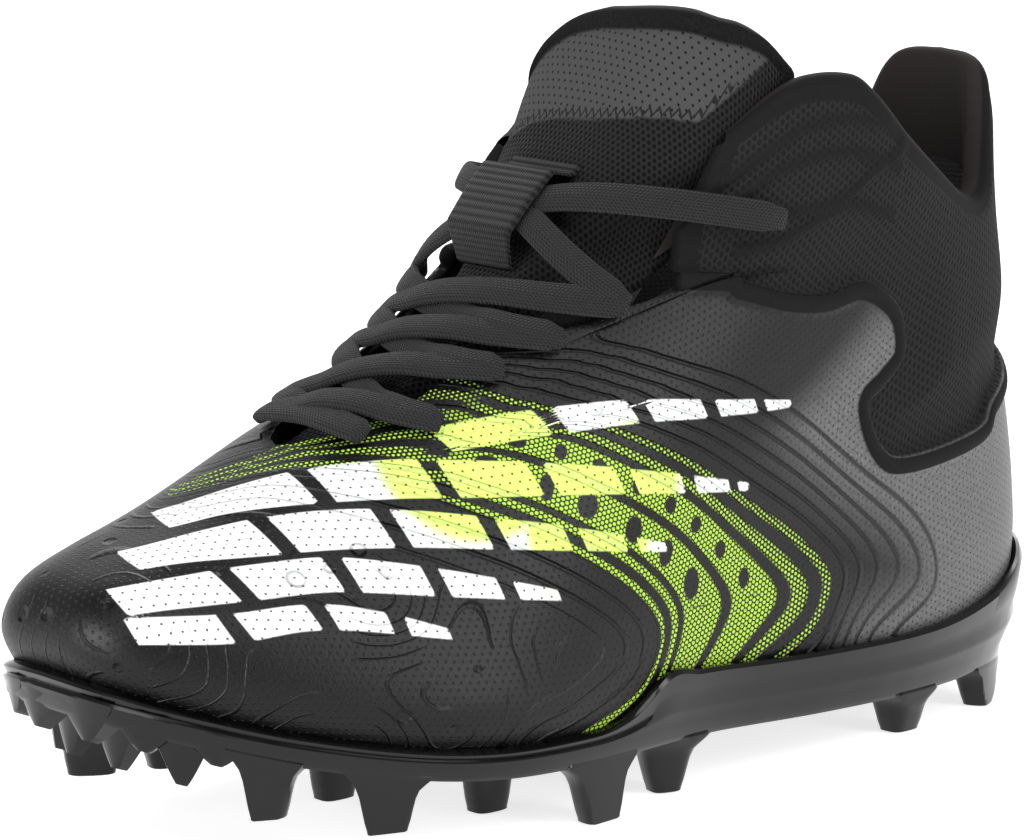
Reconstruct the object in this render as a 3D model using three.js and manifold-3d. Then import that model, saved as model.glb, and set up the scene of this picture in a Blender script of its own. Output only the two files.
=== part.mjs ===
// A left mid-height lacrosse cleat, standing empty on its studs.
// Millimetres, +Z up, toe towards -Y, outer side towards +X, origin on the floor.
import * as THREE from "three";
import { mergeVertices } from "three/addons/utils/BufferGeometryUtils.js";
import Module from "manifold-3d";

const wasm = await Module();
wasm.setup();
const { lerp, smoothstep, clamp, degToRad } = THREE.MathUtils;

// Driving sizes
const LENGTH = 278; // upper, heel bulge to toe
const BALL_WIDTH = 100; // upper across the ball
const HEEL_HEIGHT = 143; // heel seat to the top of the heel tab
const SHELL_WALL = 2.8; // synthetic shell with its lining
const CUFF_WALL = 5.5; // padded ankle cuff
const SHELL_STEP = 1.5; // edge of the shell over the cuff
const PIPING = 1.3; // bead along that edge
const CUFF_SWELL = 1.6;
const GAP = 0.3; // between pieces that touch
const HEEL_STUD = 9.5;
const FORE_STUD = 13.5;
const PLATE = 4; // floor of the sole plate
const PLATE_WALL = 2.4; // rising side of the sole plate
const PLATE_STEP = 1; // ledge along the plate's side
const TOE_SPRING = 24.5;
const ARCH_RISE = 2;
const INSOLE = 4;
const TONGUE_PAD = 6;
const LACE_WIDTH = 7;
const LACE_THICK = 2.8;
const EYELET = 3.6;
const LOOP_WIDTH = 21; // webbing loop on the tongue
const LOOP_THICK = 1.5;

const SEAT = HEEL_STUD + PLATE;

// A smooth curve through a table's rows, from its first column to another one.
function curveOf(rows, column = 1) {
  const last = rows.length - 1;
  const slope = (i) => {
    const a = rows[Math.max(i - 1, 0)];
    const b = rows[Math.min(i + 1, last)];
    return (b[column] - a[column]) / (b[0] - a[0]);
  };
  return (x) => {
    const at = clamp(x, rows[0][0], rows[last][0]);
    let i = 0;
    while (i < last - 1 && at > rows[i + 1][0]) i += 1;
    const span = rows[i + 1][0] - rows[i][0];
    const t = (at - rows[i][0]) / span;
    const ends = rows[i][column] * (1 + 2 * t) * (1 - t) ** 2 + rows[i + 1][column] * t * t * (3 - 2 * t);
    return ends + span * (slope(i) * t * (1 - t) ** 2 - slope(i + 1) * t * t * (1 - t));
  };
}

// Rise of the foot bed over the heel seat along the shoe.
const BED = [
  // share of length, of arch rise, of toe spring
  [0, 0, 0],
  [0.2, 0.4, 0],
  [0.42, 1, 0],
  [0.6, 0.2, 0.02],
  [0.72, 0, 0.12],
  [0.84, 0, 0.39],
  [0.93, 0, 0.7],
  [1, 0, 1],
];
const archShare = curveOf(BED, 1);
const springShare = curveOf(BED, 2);

// Height of the foot bed u millimetres in front of the heel.
function bedAt(u) {
  const share = u / LENGTH;
  const ball = (FORE_STUD - HEEL_STUD) * smoothstep(share, 0.3, 0.65);
  return SEAT + ball + ARCH_RISE * archShare(share) + TOE_SPRING * springShare(share);
}

// Sections of the upper's form, each a closed ring from the heel round to the ridge of the vamp.
const PROFILE_COLUMNS = ["level", "backU", "backZ", "frontU", "frontZ", "follow", "shift"];
const PROFILE = [
  // backU and frontU are shares of LENGTH, backZ and frontZ of HEEL_HEIGHT, shift of BALL_WIDTH.
  // follow is how far a ring follows the foot bed.
  [0, 0.022, 0, 0.968, 0, 1, -0.08],
  [1, 0.004, 0.085, 0.983, 0.065, 1, -0.08],
  [2, -0.003, 0.185, 0.967, 0.162, 0.9, -0.075],
  [3, -0.003, 0.28, 0.922, 0.253, 0.75, -0.07],
  [4, 0.001, 0.362, 0.857, 0.353, 0.5, -0.06],
  [5, 0.008, 0.445, 0.774, 0.46, 0.3, -0.05],
  [6, 0.016, 0.538, 0.686, 0.552, 0.1, -0.04],
  [7, 0.022, 0.641, 0.596, 0.662, 0, -0.03],
  [8, 0.031, 0.744, 0.528, 0.794, 0, -0.02],
  [9, 0.036, 0.858, 0.478, 0.914, 0, -0.01],
  [10, 0.036, 1.002, 0.445, 1.039, 0, -0.01],
  [11, 0.033, 1.125, 0.418, 1.16, 0, -0.01],
];
const WIDTH_COLUMNS = [
  "level", "heelOut", "waistOut", "ballOut", "toeOut", "heelIn", "waistIn", "ballIn", "toeIn",
  "backRound", "frontRound",
];
const WIDTHS = [
  // half widths on the outer and the inner side, shares of BALL_WIDTH, and how blunt the ends are
  [0, 0.36, 0.35, 0.49, 0.42, 0.35, 0.27, 0.45, 0.4, 0.6, 0.56],
  [1, 0.4, 0.38, 0.53, 0.45, 0.39, 0.31, 0.48, 0.43, 0.6, 0.56],
  [2, 0.405, 0.39, 0.51, 0.44, 0.395, 0.34, 0.47, 0.42, 0.6, 0.58],
  [3, 0.395, 0.385, 0.48, 0.41, 0.385, 0.35, 0.45, 0.41, 0.62, 0.61],
  [4, 0.385, 0.385, 0.45, 0.39, 0.375, 0.355, 0.43, 0.4, 0.64, 0.64],
  [5, 0.375, 0.38, 0.425, 0.38, 0.37, 0.36, 0.41, 0.38, 0.66, 0.68],
  [6, 0.365, 0.375, 0.41, 0.375, 0.36, 0.36, 0.38, 0.35, 0.68, 0.7],
  [7, 0.36, 0.375, 0.395, 0.38, 0.355, 0.365, 0.38, 0.365, 0.7, 0.68],
  [8, 0.35, 0.38, 0.39, 0.385, 0.35, 0.375, 0.4, 0.405, 0.7, 0.64],
  [9, 0.34, 0.39, 0.395, 0.39, 0.34, 0.385, 0.42, 0.43, 0.7, 0.6],
  [10, 0.33, 0.395, 0.4, 0.39, 0.33, 0.39, 0.435, 0.45, 0.7, 0.6],
  [11, 0.33, 0.4, 0.4, 0.39, 0.33, 0.395, 0.44, 0.455, 0.7, 0.62],
];
const section = {};
PROFILE_COLUMNS.forEach((name, column) => (section[name] = curveOf(PROFILE, column)));
WIDTH_COLUMNS.forEach((name, column) => (section[name] = curveOf(WIDTHS, column)));
const STATIONS = [
  // share of the way to the front, width column
  [0, "heel"],
  [0.17, "heel"],
  [0.42, "waist"],
  [0.7, "ball"],
  [1, "toe"],
];

// A point of the form. angle runs from 0 at the heel to 180 at the front, positive on the outer side.
function formPoint(level, angle) {
  const side = angle < 0 ? "In" : "Out";
  const swept = Math.asin(Math.min(1, Math.sin(degToRad(Math.min(Math.abs(angle), 180))) ** 1.5));
  const turn = Math.abs(angle) > 90 ? Math.PI - swept : swept;
  const s = (1 - Math.cos(turn)) / 2;
  const widths = STATIONS.map(([at, name]) => [at, section[name + side](level)]);
  const round = lerp(section.backRound(level), section.frontRound(level), smoothstep(s, 0.1, 0.9));
  const u = LENGTH * lerp(section.backU(level), section.frontU(level), s);
  const half = BALL_WIDTH * curveOf(widths)(s) * Math.sin(turn) ** round * Math.sign(angle);
  const rise = HEEL_HEIGHT * lerp(section.backZ(level), section.frontZ(level), s);
  return new THREE.Vector3(
    half + BALL_WIDTH * section.shift(level) * smoothstep(s, 0.35, 1),
    LENGTH / 2 - u,
    SEAT + rise + section.follow(level) * (bedAt(u) - SEAT),
  );
}

// The same point moved outwards by offset.
function skinPoint(level, angle, offset = 0) {
  const at = formPoint(level, angle);
  if (offset === 0) return at;
  const lowest = Math.max(level - 0.15, 0);
  const along = formPoint(level + 0.15, angle).sub(formPoint(lowest, angle));
  const around = formPoint(level, wrap(angle + 2.5)).sub(formPoint(level, wrap(angle - 2.5)));
  const normal = along.cross(around).normalize();
  return at.addScaledVector(normal, offset);
}
const wrap = (angle) => (angle > 180 ? angle - 360 : angle < -180 ? angle + 360 : angle);

// Edge lines by angle, as levels of the form: outer side, inner side.
const COLLAR = [
  [0, 9.98, 9.98],
  [22, 9.92, 9.92],
  [32, 9.7, 9.7],
  [39, 9.2, 9.2],
  [45, 8.5, 8.5],
  [52, 8.27, 8.27],
  [60, 8.4, 8.4],
  [69, 8.7, 8.65],
  [83, 9.2, 9.1],
  [94, 9.7, 9.6],
  [100, 9.9, 9.8],
  [111, 9.9, 9.8],
  [118, 9.7, 9.7],
  [127, 9.25, 9.3],
  [135, 8.9, 9],
  [180, 8.8, 8.8],
];
const CUFF_LINE = [
  // where the shell ends and the cuff begins
  [0, 5.7, 5.7],
  [18, 5.45, 5.45],
  [30, 5.1, 5.1],
  [37, 4.75, 4.75],
  [46, 4.3, 4.3],
  [56, 4.08, 4.08],
  [65, 4.1, 4.1],
  [70, 4.5, 4.5],
  [74, 6.1, 6.1],
  [79, 6.85, 6.85],
  [85, 7.08, 7.08],
  [97, 7.05, 7.05],
  [108, 7.25, 7.25],
  [120, 7.45, 7.45],
  [180, 7.5, 7.5],
];
const PLATE_LINE = [
  // top of the sole plate's side
  [0, 1.95, 1.95],
  [20, 1.8, 1.8],
  [32, 1.5, 1.5],
  [44, 1.2, 1.2],
  [56, 1, 1],
  [77, 1, 1],
  [87, 1.08, 1.08],
  [91, 1.15, 1.15],
  [95, 0.35, 0.35],
  [99, 0.12, 0.12],
  [140, 0.12, 0.12],
  [180, 0.2, 0.2],
];
const lineAt = (rows) => {
  const sides = [curveOf(rows, 1), curveOf(rows, 2)];
  return (angle) => sides[angle < 0 ? 1 : 0](Math.abs(angle));
};
const collarAt = lineAt(COLLAR);
const cuffAt = lineAt(CUFF_LINE);
const plateAt = lineAt(PLATE_LINE);

// Solids
function solidOf(points, faces) {
  let volume = 0;
  for (const [a, b, c] of faces) volume += points[a].dot(points[b].clone().cross(points[c]));
  const turned = volume < 0 ? faces.map(([a, b, c]) => [a, c, b]) : faces;
  const geometry = new THREE.BufferGeometry();
  const numbers = points.flatMap((p) => [p.x, p.y, p.z]);
  geometry.setAttribute("position", new THREE.Float32BufferAttribute(numbers, 3));
  geometry.setIndex(turned.flat());
  const merged = mergeVertices(geometry, 1e-4);
  return new wasm.Manifold(
    new wasm.Mesh({
      numProp: 3,
      vertProperties: merged.attributes.position.array,
      triVerts: new Uint32Array(merged.index.array),
    }),
  );
}

// Joins closed rings of equal count. Ends are "open" (a torus), or closed by "fan" or by "mirror",
// which joins the two sides of a ring that runs round the shoe.
function loft(rings, ends = "fan") {
  const points = rings.flat();
  const count = rings[0].length;
  const faces = [];
  const strips = ends === "open" ? rings.length : rings.length - 1;
  for (let r = 0; r < strips; r += 1) {
    const next = (r + 1) % rings.length;
    for (let i = 0; i < count; i += 1) {
      const j = (i + 1) % count;
      const [a, b, c, d] = [r * count + i, r * count + j, next * count + j, next * count + i];
      faces.push([a, b, c], [a, c, d]);
    }
  }
  const cap = (start, flip) => {
    const add = (a, b, c) => faces.push((flip ? [a, c, b] : [a, b, c]).map((i) => start + i));
    if (ends === "fan") for (let i = 1; i < count - 1; i += 1) add(0, i, i + 1);
    if (ends === "mirror") {
      for (let i = 0; i < count / 2; i += 1) {
        const [a, b, c, d] = [i, i + 1, count - 1 - i, (count - i) % count];
        if (a !== d) add(a, b, d);
        if (b !== c) add(b, c, d);
      }
    }
  };
  if (ends !== "open") {
    cap(0, true);
    cap((rings.length - 1) * count, false);
  }
  return solidOf(points, faces);
}

const ROUND = 72; // points of a ring round the shoe
const ringAngles = Array.from({ length: ROUND }, (_, i) => wrap((i * 360) / ROUND));
const ringOf = (pointAt) => ringAngles.map(pointAt);
const steps = (count) => Array.from({ length: count + 1 }, (_, i) => i / count);

const group = new THREE.Group();
function add(name, solid, slot) {
  const mesh = solid.getMesh();
  const geometry = new THREE.BufferGeometry();
  const positions = new Float32Array(mesh.numVert * 3);
  for (let i = 0; i < mesh.numVert; i += 1) {
    positions.set(mesh.vertProperties.subarray(i * mesh.numProp, i * mesh.numProp + 3), i * 3);
  }
  geometry.setAttribute("position", new THREE.BufferAttribute(positions, 3));
  geometry.setIndex(new THREE.BufferAttribute(mesh.triVerts, 1));
  geometry.computeVertexNormals();
  const piece = new THREE.Mesh(geometry, slot);
  piece.name = name;
  group.add(piece);
}
const paint = (color, roughness) => new THREE.MeshStandardMaterial({ color, roughness });

// Upper: one hollow solid, its outside stepped where the shell laps over the cuff.
const OUTSIDE = [
  // part, share of the part's height, offset from the form
  ...[0, 0.5, 1].map((at) => ["plate", at, 0]),
  ...[0.14, 0.28, 0.43, 0.58, 0.72, 0.86, 0.97].map((at) => ["shell", at, 0]),
  ["cuff", -0.02, PIPING],
  ["cuff", 0.03, PIPING],
  ["cuff", 0.05, -SHELL_STEP],
  ["cuff", 0.2, 0],
  ["cuff", 0.5, CUFF_SWELL],
  ["cuff", 0.8, CUFF_SWELL],
  ["cuff", 0.95, 0.4 * CUFF_SWELL],
  ["cuff", 1, -0.35 * CUFF_WALL],
];
const INSIDE = [
  ["cuff", 0.96, -0.8 * CUFF_WALL],
  ["cuff", 0.8, -CUFF_WALL],
  ["cuff", 0.5, -CUFF_WALL],
  ["cuff", 0.2, -CUFF_WALL],
  ["cuff", 0, -SHELL_WALL - 0.6],
  ...[0.67, 0.33].map((at) => ["shell", at, -SHELL_WALL]),
  ...[1, 0].map((at) => ["seat", at, -SHELL_WALL]),
];
const FEATHER = 0.03; // level of the upper's lower edge
const SEAT_TOP = 0.42; // level just over the insole
const PARTS = {
  seat: [() => FEATHER, () => SEAT_TOP],
  plate: [() => FEATHER, plateAt],
  shell: [plateAt, cuffAt],
  cuff: [cuffAt, collarAt],
};
const edgeLevel = (part, at, angle) => lerp(PARTS[part][0](angle), PARTS[part][1](angle), at);
const upperRing = ([part, at, offset]) =>
  ringOf((angle) => skinPoint(edgeLevel(part, at, angle), angle, offset));
const upperBody = loft([...OUTSIDE, ...INSIDE].map(upperRing), "open");

// Throat: the slot over the tongue.
const THROAT = [
  // share of length, half width outwards and inwards, shares of BALL_WIDTH
  [0.3, 0.32, 0.27],
  [0.43, 0.32, 0.25],
  [0.465, 0.3, 0.235],
  [0.49, 0.255, 0.22],
  [0.53, 0.222, 0.195],
  [0.57, 0.2, 0.17],
  [0.615, 0.182, 0.15],
  [0.665, 0.165, 0.13],
  [0.7, 0.135, 0.11],
  [0.73, 0.095, 0.08],
  [0.75, 0.04, 0.04],
];
const CUFF_FRONT = [
  // the same above the shell, where the cuff stands further apart
  [0.43, 0.3, 0.24],
  [0.45, 0.335, 0.27],
  [0.5, 0.33, 0.26],
  [0.62, 0.33, 0.32],
];
function cutterOf(rows, from, to) {
  const centre = (share) => section.shift(5) * BALL_WIDTH * smoothstep(share, 0.3, 0.8);
  const sides = [1, -1].map((side) =>
    rows.map(([share, outwards, inwards]) => [
      centre(share) + (side > 0 ? outwards : -inwards) * BALL_WIDTH,
      LENGTH * (0.5 - share),
    ]),
  );
  const outline = [...sides[0], ...sides[1].reverse()];
  const levels = [from, to].map((share) => SEAT + share * HEEL_HEIGHT);
  return loft(levels.map((z) => outline.map(([x, y]) => new THREE.Vector3(x, y, z))));
}

// Eyelets, punched from the toe up.
const EYELETS = [
  // level on the form, angle on the outer side, angle on the inner side, lift of the lace there
  [5.35, 152, 157, 0.6],
  [5.6, 140, 149, 0.6],
  [6.35, 140, 148, 0.6],
  [6.75, 135, 144, 0.7],
  [7.15, 128, 138, 1.4],
  [8.15, 108, 116, 2.4],
];
function eyeletCutter(level, angle) {
  const centre = skinPoint(level, angle, 0);
  const normal = skinPoint(level, angle, 1).sub(centre);
  const end = (reach) => centre.clone().addScaledVector(normal, reach);
  return rod(end(8), end(-12), EYELET / 2, 8);
}
function rod(from, to, radius, sides) {
  const frame = new THREE.Quaternion().setFromUnitVectors(
    new THREE.Vector3(0, 0, 1),
    to.clone().sub(from).normalize(),
  );
  const circle = Array.from({ length: sides }, (_, i) => (i * 2 * Math.PI) / sides);
  const ring = (at) =>
    circle.map((a) =>
      new THREE.Vector3(radius * Math.cos(a), radius * Math.sin(a), 0).applyQuaternion(frame).add(at),
    );
  return loft([ring(from), ring(to)]);
}
let upper = upperBody.subtract(cutterOf(THROAT, 0.3, 1.4)).subtract(cutterOf(CUFF_FRONT, 0.71, 1.4));
for (const [level, outer, inner] of EYELETS) {
  upper = upper.subtract(eyeletCutter(level, outer)).subtract(eyeletCutter(level, -inner));
}
add("upper", upper, paint("#17171a", 0.55));

// Sole plate: floor, rising side with a ledge, studs and toe teeth in one moulding.
const PLATE_PROFILE = [
  // share of the side's height, offset from the form
  [0, GAP],
  [0.5, GAP],
  [1, GAP],
  [1.02, GAP + 0.6 * PLATE_WALL],
  [0.85, GAP + PLATE_WALL],
  [0.5, GAP + PLATE_WALL],
  [0.38, GAP + PLATE_WALL + PLATE_STEP],
  [0.05, GAP + PLATE_WALL + PLATE_STEP],
];
const plateSide = PLATE_PROFILE.map(([at, offset]) =>
  ringOf((angle) => skinPoint(Math.max(at * plateAt(angle), 0), angle, offset)),
);
const under = (drop, inset) =>
  ringOf((angle) => skinPoint(0, angle, inset).sub(new THREE.Vector3(0, 0, drop)));
const sole = loft([...plateSide, under(0.55 * PLATE, GAP + PLATE_WALL), under(PLATE, -1.5)], "mirror");

// Studs, in millimetres from the heel and from the middle line.
const STUDS = [
  // u, v, root length and width, tip length and width, turn of the blade, tip height over the floor
  [241, 29, 24, 15, 11, 7, 26, 12],
  [217, 39, 24, 15, 11, 7, 12, 6.5],
  [160, 43, 26, 15, 11.5, 7.5, -4, 0],
  [132, 33, 24, 14, 9, 7, -14, 0],
  [173, 20, 18, 13, 10, 7, 0, 0],
  [198, -3, 18, 13, 10, 7, 0, 2.5],
  [243, -32, 22, 14, 12, 7, -30, 10],
  [216, -40, 24, 14, 11, 7, -14, 5.5],
  [168, -36, 26, 14, 11, 7, 6, 0],
  [138, -25, 22, 13, 9, 7, 14, 0],
  [52, 28, 19, 20, 10, 8, 4, 0],
  [19, 22, 19, 20, 10, 8, 34, 0],
  [52, -27, 19, 20, 10, 8, -4, 0],
  [19, -21, 19, 20, 10, 8, -34, 0],
];
const STUD_FLARE = [
  // share of the stud's height from the root, share from root to tip size
  [-0.14, 0],
  [0.04, 0.25],
  [0.26, 0.7],
  [0.6, 0.92],
  [1, 1.1],
];
function stud([u, v, rootLong, rootWide, tipLong, tipWide, turn, tipZ]) {
  const sides = Array.from({ length: 8 }, (_, i) => ((i + 0.5) * Math.PI) / 4);
  const soft = (x) => Math.sign(x) * Math.abs(x) ** 0.55;
  const rings = STUD_FLARE.map(([down, share]) => {
    const [long, wide] = [lerp(rootLong, tipLong, share) / 2, lerp(rootWide, tipWide, share) / 2];
    return sides.map((a) => {
      const at = new THREE.Vector3(wide * soft(Math.sin(a)), long * soft(Math.cos(a)), 0);
      at.applyAxisAngle(new THREE.Vector3(0, 0, 1), degToRad(turn));
      at.add(new THREE.Vector3(v, LENGTH / 2 - u, 0));
      return at.setZ(lerp(bedAt(LENGTH / 2 - at.y) - PLATE, tipZ, down));
    });
  });
  return loft(rings);
}
const rim = GAP + PLATE_WALL + PLATE_STEP;
const trim = loft([-1, 100].map((z) => ringOf((angle) => skinPoint(0, angle, rim).setZ(z))), "mirror");
const studs = STUDS.slice(1).reduce((joined, row) => joined.add(stud(row)), stud(STUDS[0]));
let outsole = sole.add(studs.intersect(trim));

// Teeth: points hanging from the toe's edge and from a second row inside it.
const TEETH = [
  // angle on the form, offset from its edge, half width, drop under the plate
  [140, 0, 8, 2.5],
  [152.5, 0, 8, 3.3],
  [167, 0, 8, 4.5],
  [-176, 0, 8, 4.7],
  [-164, 0, 7.5, 3.3],
  [-152, 0, 7.5, 3],
  [-142, 0, 7.5, 2.5],
  [146, -10, 7, 9],
  [168, -10, 7, 9],
  [-174, -10, 7, 9],
  [-157, -10, 7, 9],
];
function tooth([angle, inset, half, drop]) {
  const base = skinPoint(0, angle, inset + GAP);
  const along = skinPoint(0, wrap(angle + 3), inset + GAP).sub(base).setZ(0).normalize();
  const out = new THREE.Vector3(along.y, -along.x, 0);
  if (out.dot(base) < 0) out.negate();
  const at = (side, outer, depth) => {
    const point = base.clone().addScaledVector(along, side).addScaledVector(out, outer);
    return point.setZ(bedAt(LENGTH / 2 - point.y) - depth);
  };
  const ring = (wide, outer, inner, depth) => [
    at(-wide, outer, depth),
    at(wide, outer, depth),
    at(wide, inner, depth),
    at(-wide, inner, depth),
  ];
  return loft([
    ring(half, PLATE_WALL, -4, 0.4 * PLATE),
    ring(half, PLATE_WALL, -4, 0.7 * PLATE),
    ring(1.4, 0.9 * PLATE_WALL, -1, PLATE + drop),
  ]);
}
for (const row of TEETH) outsole = outsole.add(tooth(row));
add("outsole", outsole, paint("#101013", 0.3));

// Insole: a moulded sheet on the plate, inside the upper.
function bedRing(height, inset) {
  return ringOf((angle) => {
    const at = skinPoint(0.03 + 0.08 * height, angle, -SHELL_WALL - 2 * GAP - inset);
    return at.setZ(bedAt(LENGTH / 2 - at.y) + height);
  });
}
const INSOLE_EDGE = [
  // height as a share of INSOLE, inset from the wall
  [0.08, 2],
  [0.3, 1.2],
  [0.9, 0.7],
  [1, 1.6],
];
const insole = loft(INSOLE_EDGE.map(([at, inset]) => bedRing(at * INSOLE, inset)), "mirror");
add("insole", insole, paint("#26262a", 0.9));

// Tongue: a padded sheet under the throat, rising out of the collar.
const TUCK = -CUFF_WALL - 4 * GAP; // height of an edge that lies under the cuff
const TONGUE = [
  // share of the way to the top, half sweep outwards and inwards in degrees,
  // height over the form of the face, the outer edge and the inner edge
  [0, 20, 20, -4, TUCK, TUCK],
  [0.12, 28, 26, -3.7, TUCK, TUCK],
  [0.26, 36, 31, -3, TUCK, TUCK],
  [0.4, 44, 36, -2.2, TUCK, TUCK],
  [0.53, 52, 40, -2, TUCK, TUCK],
  [0.65, 60, 42, -1.6, TUCK, TUCK],
  [0.77, 66, 40, -0.6, TUCK, TUCK],
  [0.88, 69, 37, 0.4, TUCK, TUCK],
  [0.94, 69, 35, 0.5, -6, -5.8],
  [0.985, 68, 33, 0.4, -5.4, -4.4],
  [1, 66, 31, -1.2, -5.6, -5],
];
const TONGUE_FOOT = 4.4; // level of its lower end
const TONGUE_TOP = [
  // share from the middle to a side, level of the top edge outwards and inwards
  [0, 10.62, 10.62],
  [0.3, 10.68, 10.48],
  [0.5, 10.66, 10.3],
  [0.65, 10.56, 10.1],
  [0.75, 10.5, 9.85],
  [0.86, 10.36, 9.6],
  [1, 10.0, 9.2],
];
const TONGUE_ACROSS = 12;
function tongueSection([rise, sweepOut, sweepIn, face, edgeOut, edgeIn]) {
  const bend = lerp(0.3, 0.7, smoothstep(rise, 0.5, 0.75));
  const side = (direction, depth) =>
    steps(TONGUE_ACROSS).map((t) => {
      const share = direction * (2 * t - 1);
      const [sweep, edge, column] = share < 0 ? [sweepOut, edgeOut, 1] : [sweepIn, edgeIn, 2];
      const level = lerp(TONGUE_FOOT, curveOf(TONGUE_TOP, column)(Math.abs(share)), rise);
      const offset = lerp(face, edge, smoothstep(Math.abs(share), bend, bend + 0.3)) - depth;
      return skinPoint(level, wrap(180 + share * sweep), offset);
    });
  return [...side(1, 0), ...side(-1, TONGUE_PAD)];
}
add("tongue", loft(TONGUE.map(tongueSection)), paint("#0c0c0e", 0.95));

// Lace: flat bands over the tongue from eyelet to eyelet, joined where they cross.
const BANDS = [
  // outer eyelet, inner eyelet, level in the middle, height of the middle over the form
  [0, 0, 5.5, 2.6],
  [0, 1, 5.6, 1.2],
  [1, 0, 5.72, 3.8],
  [1, 2, 6.02, 1.2],
  [2, 1, 6.18, 3.8],
  [2, 3, 6.55, 1.2],
  [3, 2, 6.7, 3.8],
  [3, 4, 7, 1.2],
  [4, 3, 7.15, 3.8],
  [4, 5, 8.16, 3.8],
  [5, 4, 8.2, 3.8],
];
const BAND_STEPS = 7;
const BAND_SIDES = 6;
function band([outer, inner, middle, height]) {
  const from = EYELETS[outer];
  const to = [EYELETS[inner][0], 360 - EYELETS[inner][2]];
  const rest = LACE_THICK / 2 + 2 * GAP;
  const path = (t) => {
    const bow = 4 * t * (1 - t);
    const level = lerp(from[0], to[0], t) + bow * (middle - (from[0] + to[0]) / 2);
    const low = rest + lerp(EYELETS[outer][3], EYELETS[inner][3], t);
    return skinPoint(level, wrap(lerp(from[1], to[1], t)), lerp(low, height, smoothstep(bow, 0.65, 1)));
  };
  const rings = steps(BAND_STEPS).map((t) => {
    const centre = path(t);
    const ahead = path(t + 0.01).sub(path(t - 0.01)).normalize();
    const bow = 4 * t * (1 - t);
    const level = lerp(from[0], to[0], t) + bow * (middle - (from[0] + to[0]) / 2);
    const angle = wrap(lerp(from[1], to[1], t));
    const normal = skinPoint(level, angle, 4).sub(skinPoint(level, angle, 0)).normalize();
    const across = ahead.clone().cross(normal).normalize();
    const up = across.clone().cross(ahead).normalize();
    return Array.from({ length: BAND_SIDES }, (_, i) => {
      const a = ((i + 0.5) * 2 * Math.PI) / BAND_SIDES;
      const soft = (x) => Math.sign(x) * Math.abs(x) ** 0.7;
      return centre
        .clone()
        .addScaledVector(across, (soft(Math.cos(a)) * LACE_WIDTH) / 2)
        .addScaledVector(up, (soft(Math.sin(a)) * LACE_THICK) / 2);
    });
  });
  return loft(rings);
}
const lace = BANDS.slice(1).reduce((joined, row) => joined.add(band(row)), band(BANDS[0]));
add("lace", lace, paint("#0a0a0b", 0.9));

// Loop: a webbing strap on the tongue that the top of the lace runs through.
const LOOP = [
  // level, height of its underside over the form, share of LOOP_WIDTH
  [7.52, -1.2, 0.86],
  [7.57, 0.9, 0.86],
  [7.7, 6.2, 0.9],
  [8.1, 6.5, 0.95],
  [8.44, 6, 1],
  [8.54, 1.4, 1],
  [8.6, -0.5, 1],
  [8.7, -0.4, 1],
];
const LOOP_ACROSS = 6;
function loopSection([level, under, share]) {
  const perDegree = formPoint(level, 180).distanceTo(formPoint(level, 170)) / 10;
  const sweep = (share * LOOP_WIDTH) / 2 / perDegree;
  const side = (direction, height) =>
    steps(LOOP_ACROSS).map((t) => skinPoint(level, wrap(180 + direction * (2 * t - 1) * sweep), height));
  return [...side(1, under + LOOP_THICK), ...side(-1, under)];
}
add("lace_loop", loft(LOOP.map(loopSection)), paint("#0d0d0f", 0.8));

// The origin is on the floor, under the middle of the shoe's box.
const box = new THREE.Box3().setFromObject(group);
const middle = box.getCenter(new THREE.Vector3());
for (const piece of group.children) piece.position.set(-middle.x, -middle.y, -box.min.z);

export default group;
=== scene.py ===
"""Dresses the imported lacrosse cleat: sizes, form functions, materials, pieces and studio."""
import math

import bmesh
import bpy
import numpy as np
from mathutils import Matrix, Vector


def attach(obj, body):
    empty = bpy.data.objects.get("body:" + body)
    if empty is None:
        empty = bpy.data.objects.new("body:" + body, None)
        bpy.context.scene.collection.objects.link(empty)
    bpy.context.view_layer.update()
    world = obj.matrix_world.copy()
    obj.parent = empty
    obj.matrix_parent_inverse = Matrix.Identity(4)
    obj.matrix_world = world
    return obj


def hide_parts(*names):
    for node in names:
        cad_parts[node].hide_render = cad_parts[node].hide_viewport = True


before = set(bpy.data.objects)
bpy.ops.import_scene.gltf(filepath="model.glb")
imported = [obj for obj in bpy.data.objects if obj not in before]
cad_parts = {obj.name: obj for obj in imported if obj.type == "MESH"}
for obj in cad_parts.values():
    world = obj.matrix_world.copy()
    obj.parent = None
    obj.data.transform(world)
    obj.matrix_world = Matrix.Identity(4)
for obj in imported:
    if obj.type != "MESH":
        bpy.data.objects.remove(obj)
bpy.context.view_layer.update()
MM = 0.001

# Sizes of the part, in millimetres
LENGTH = 278
BALL_WIDTH = 100
HEEL_HEIGHT = 143
SHELL_WALL = 2.8
CUFF_WALL = 5.5
SHELL_STEP = 1.5
PIPING = 1.3
CUFF_SWELL = 1.6
GAP = 0.3
HEEL_STUD = 9.5
FORE_STUD = 13.5
PLATE = 4
PLATE_WALL = 2.4
PLATE_STEP = 1
TOE_SPRING = 24.5
ARCH_RISE = 2
INSOLE = 4
TONGUE_PAD = 6
LACE_WIDTH = 7
LACE_THICK = 2.8
LOOP_WIDTH = 21
LOOP_THICK = 1.5
SEAT = HEEL_STUD + PLATE
MIDDLE = np.array([2.156, -3.963, 0.0])
PER_LEVEL = 15.5
BOTTOM_LEVEL = 0.03

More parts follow.
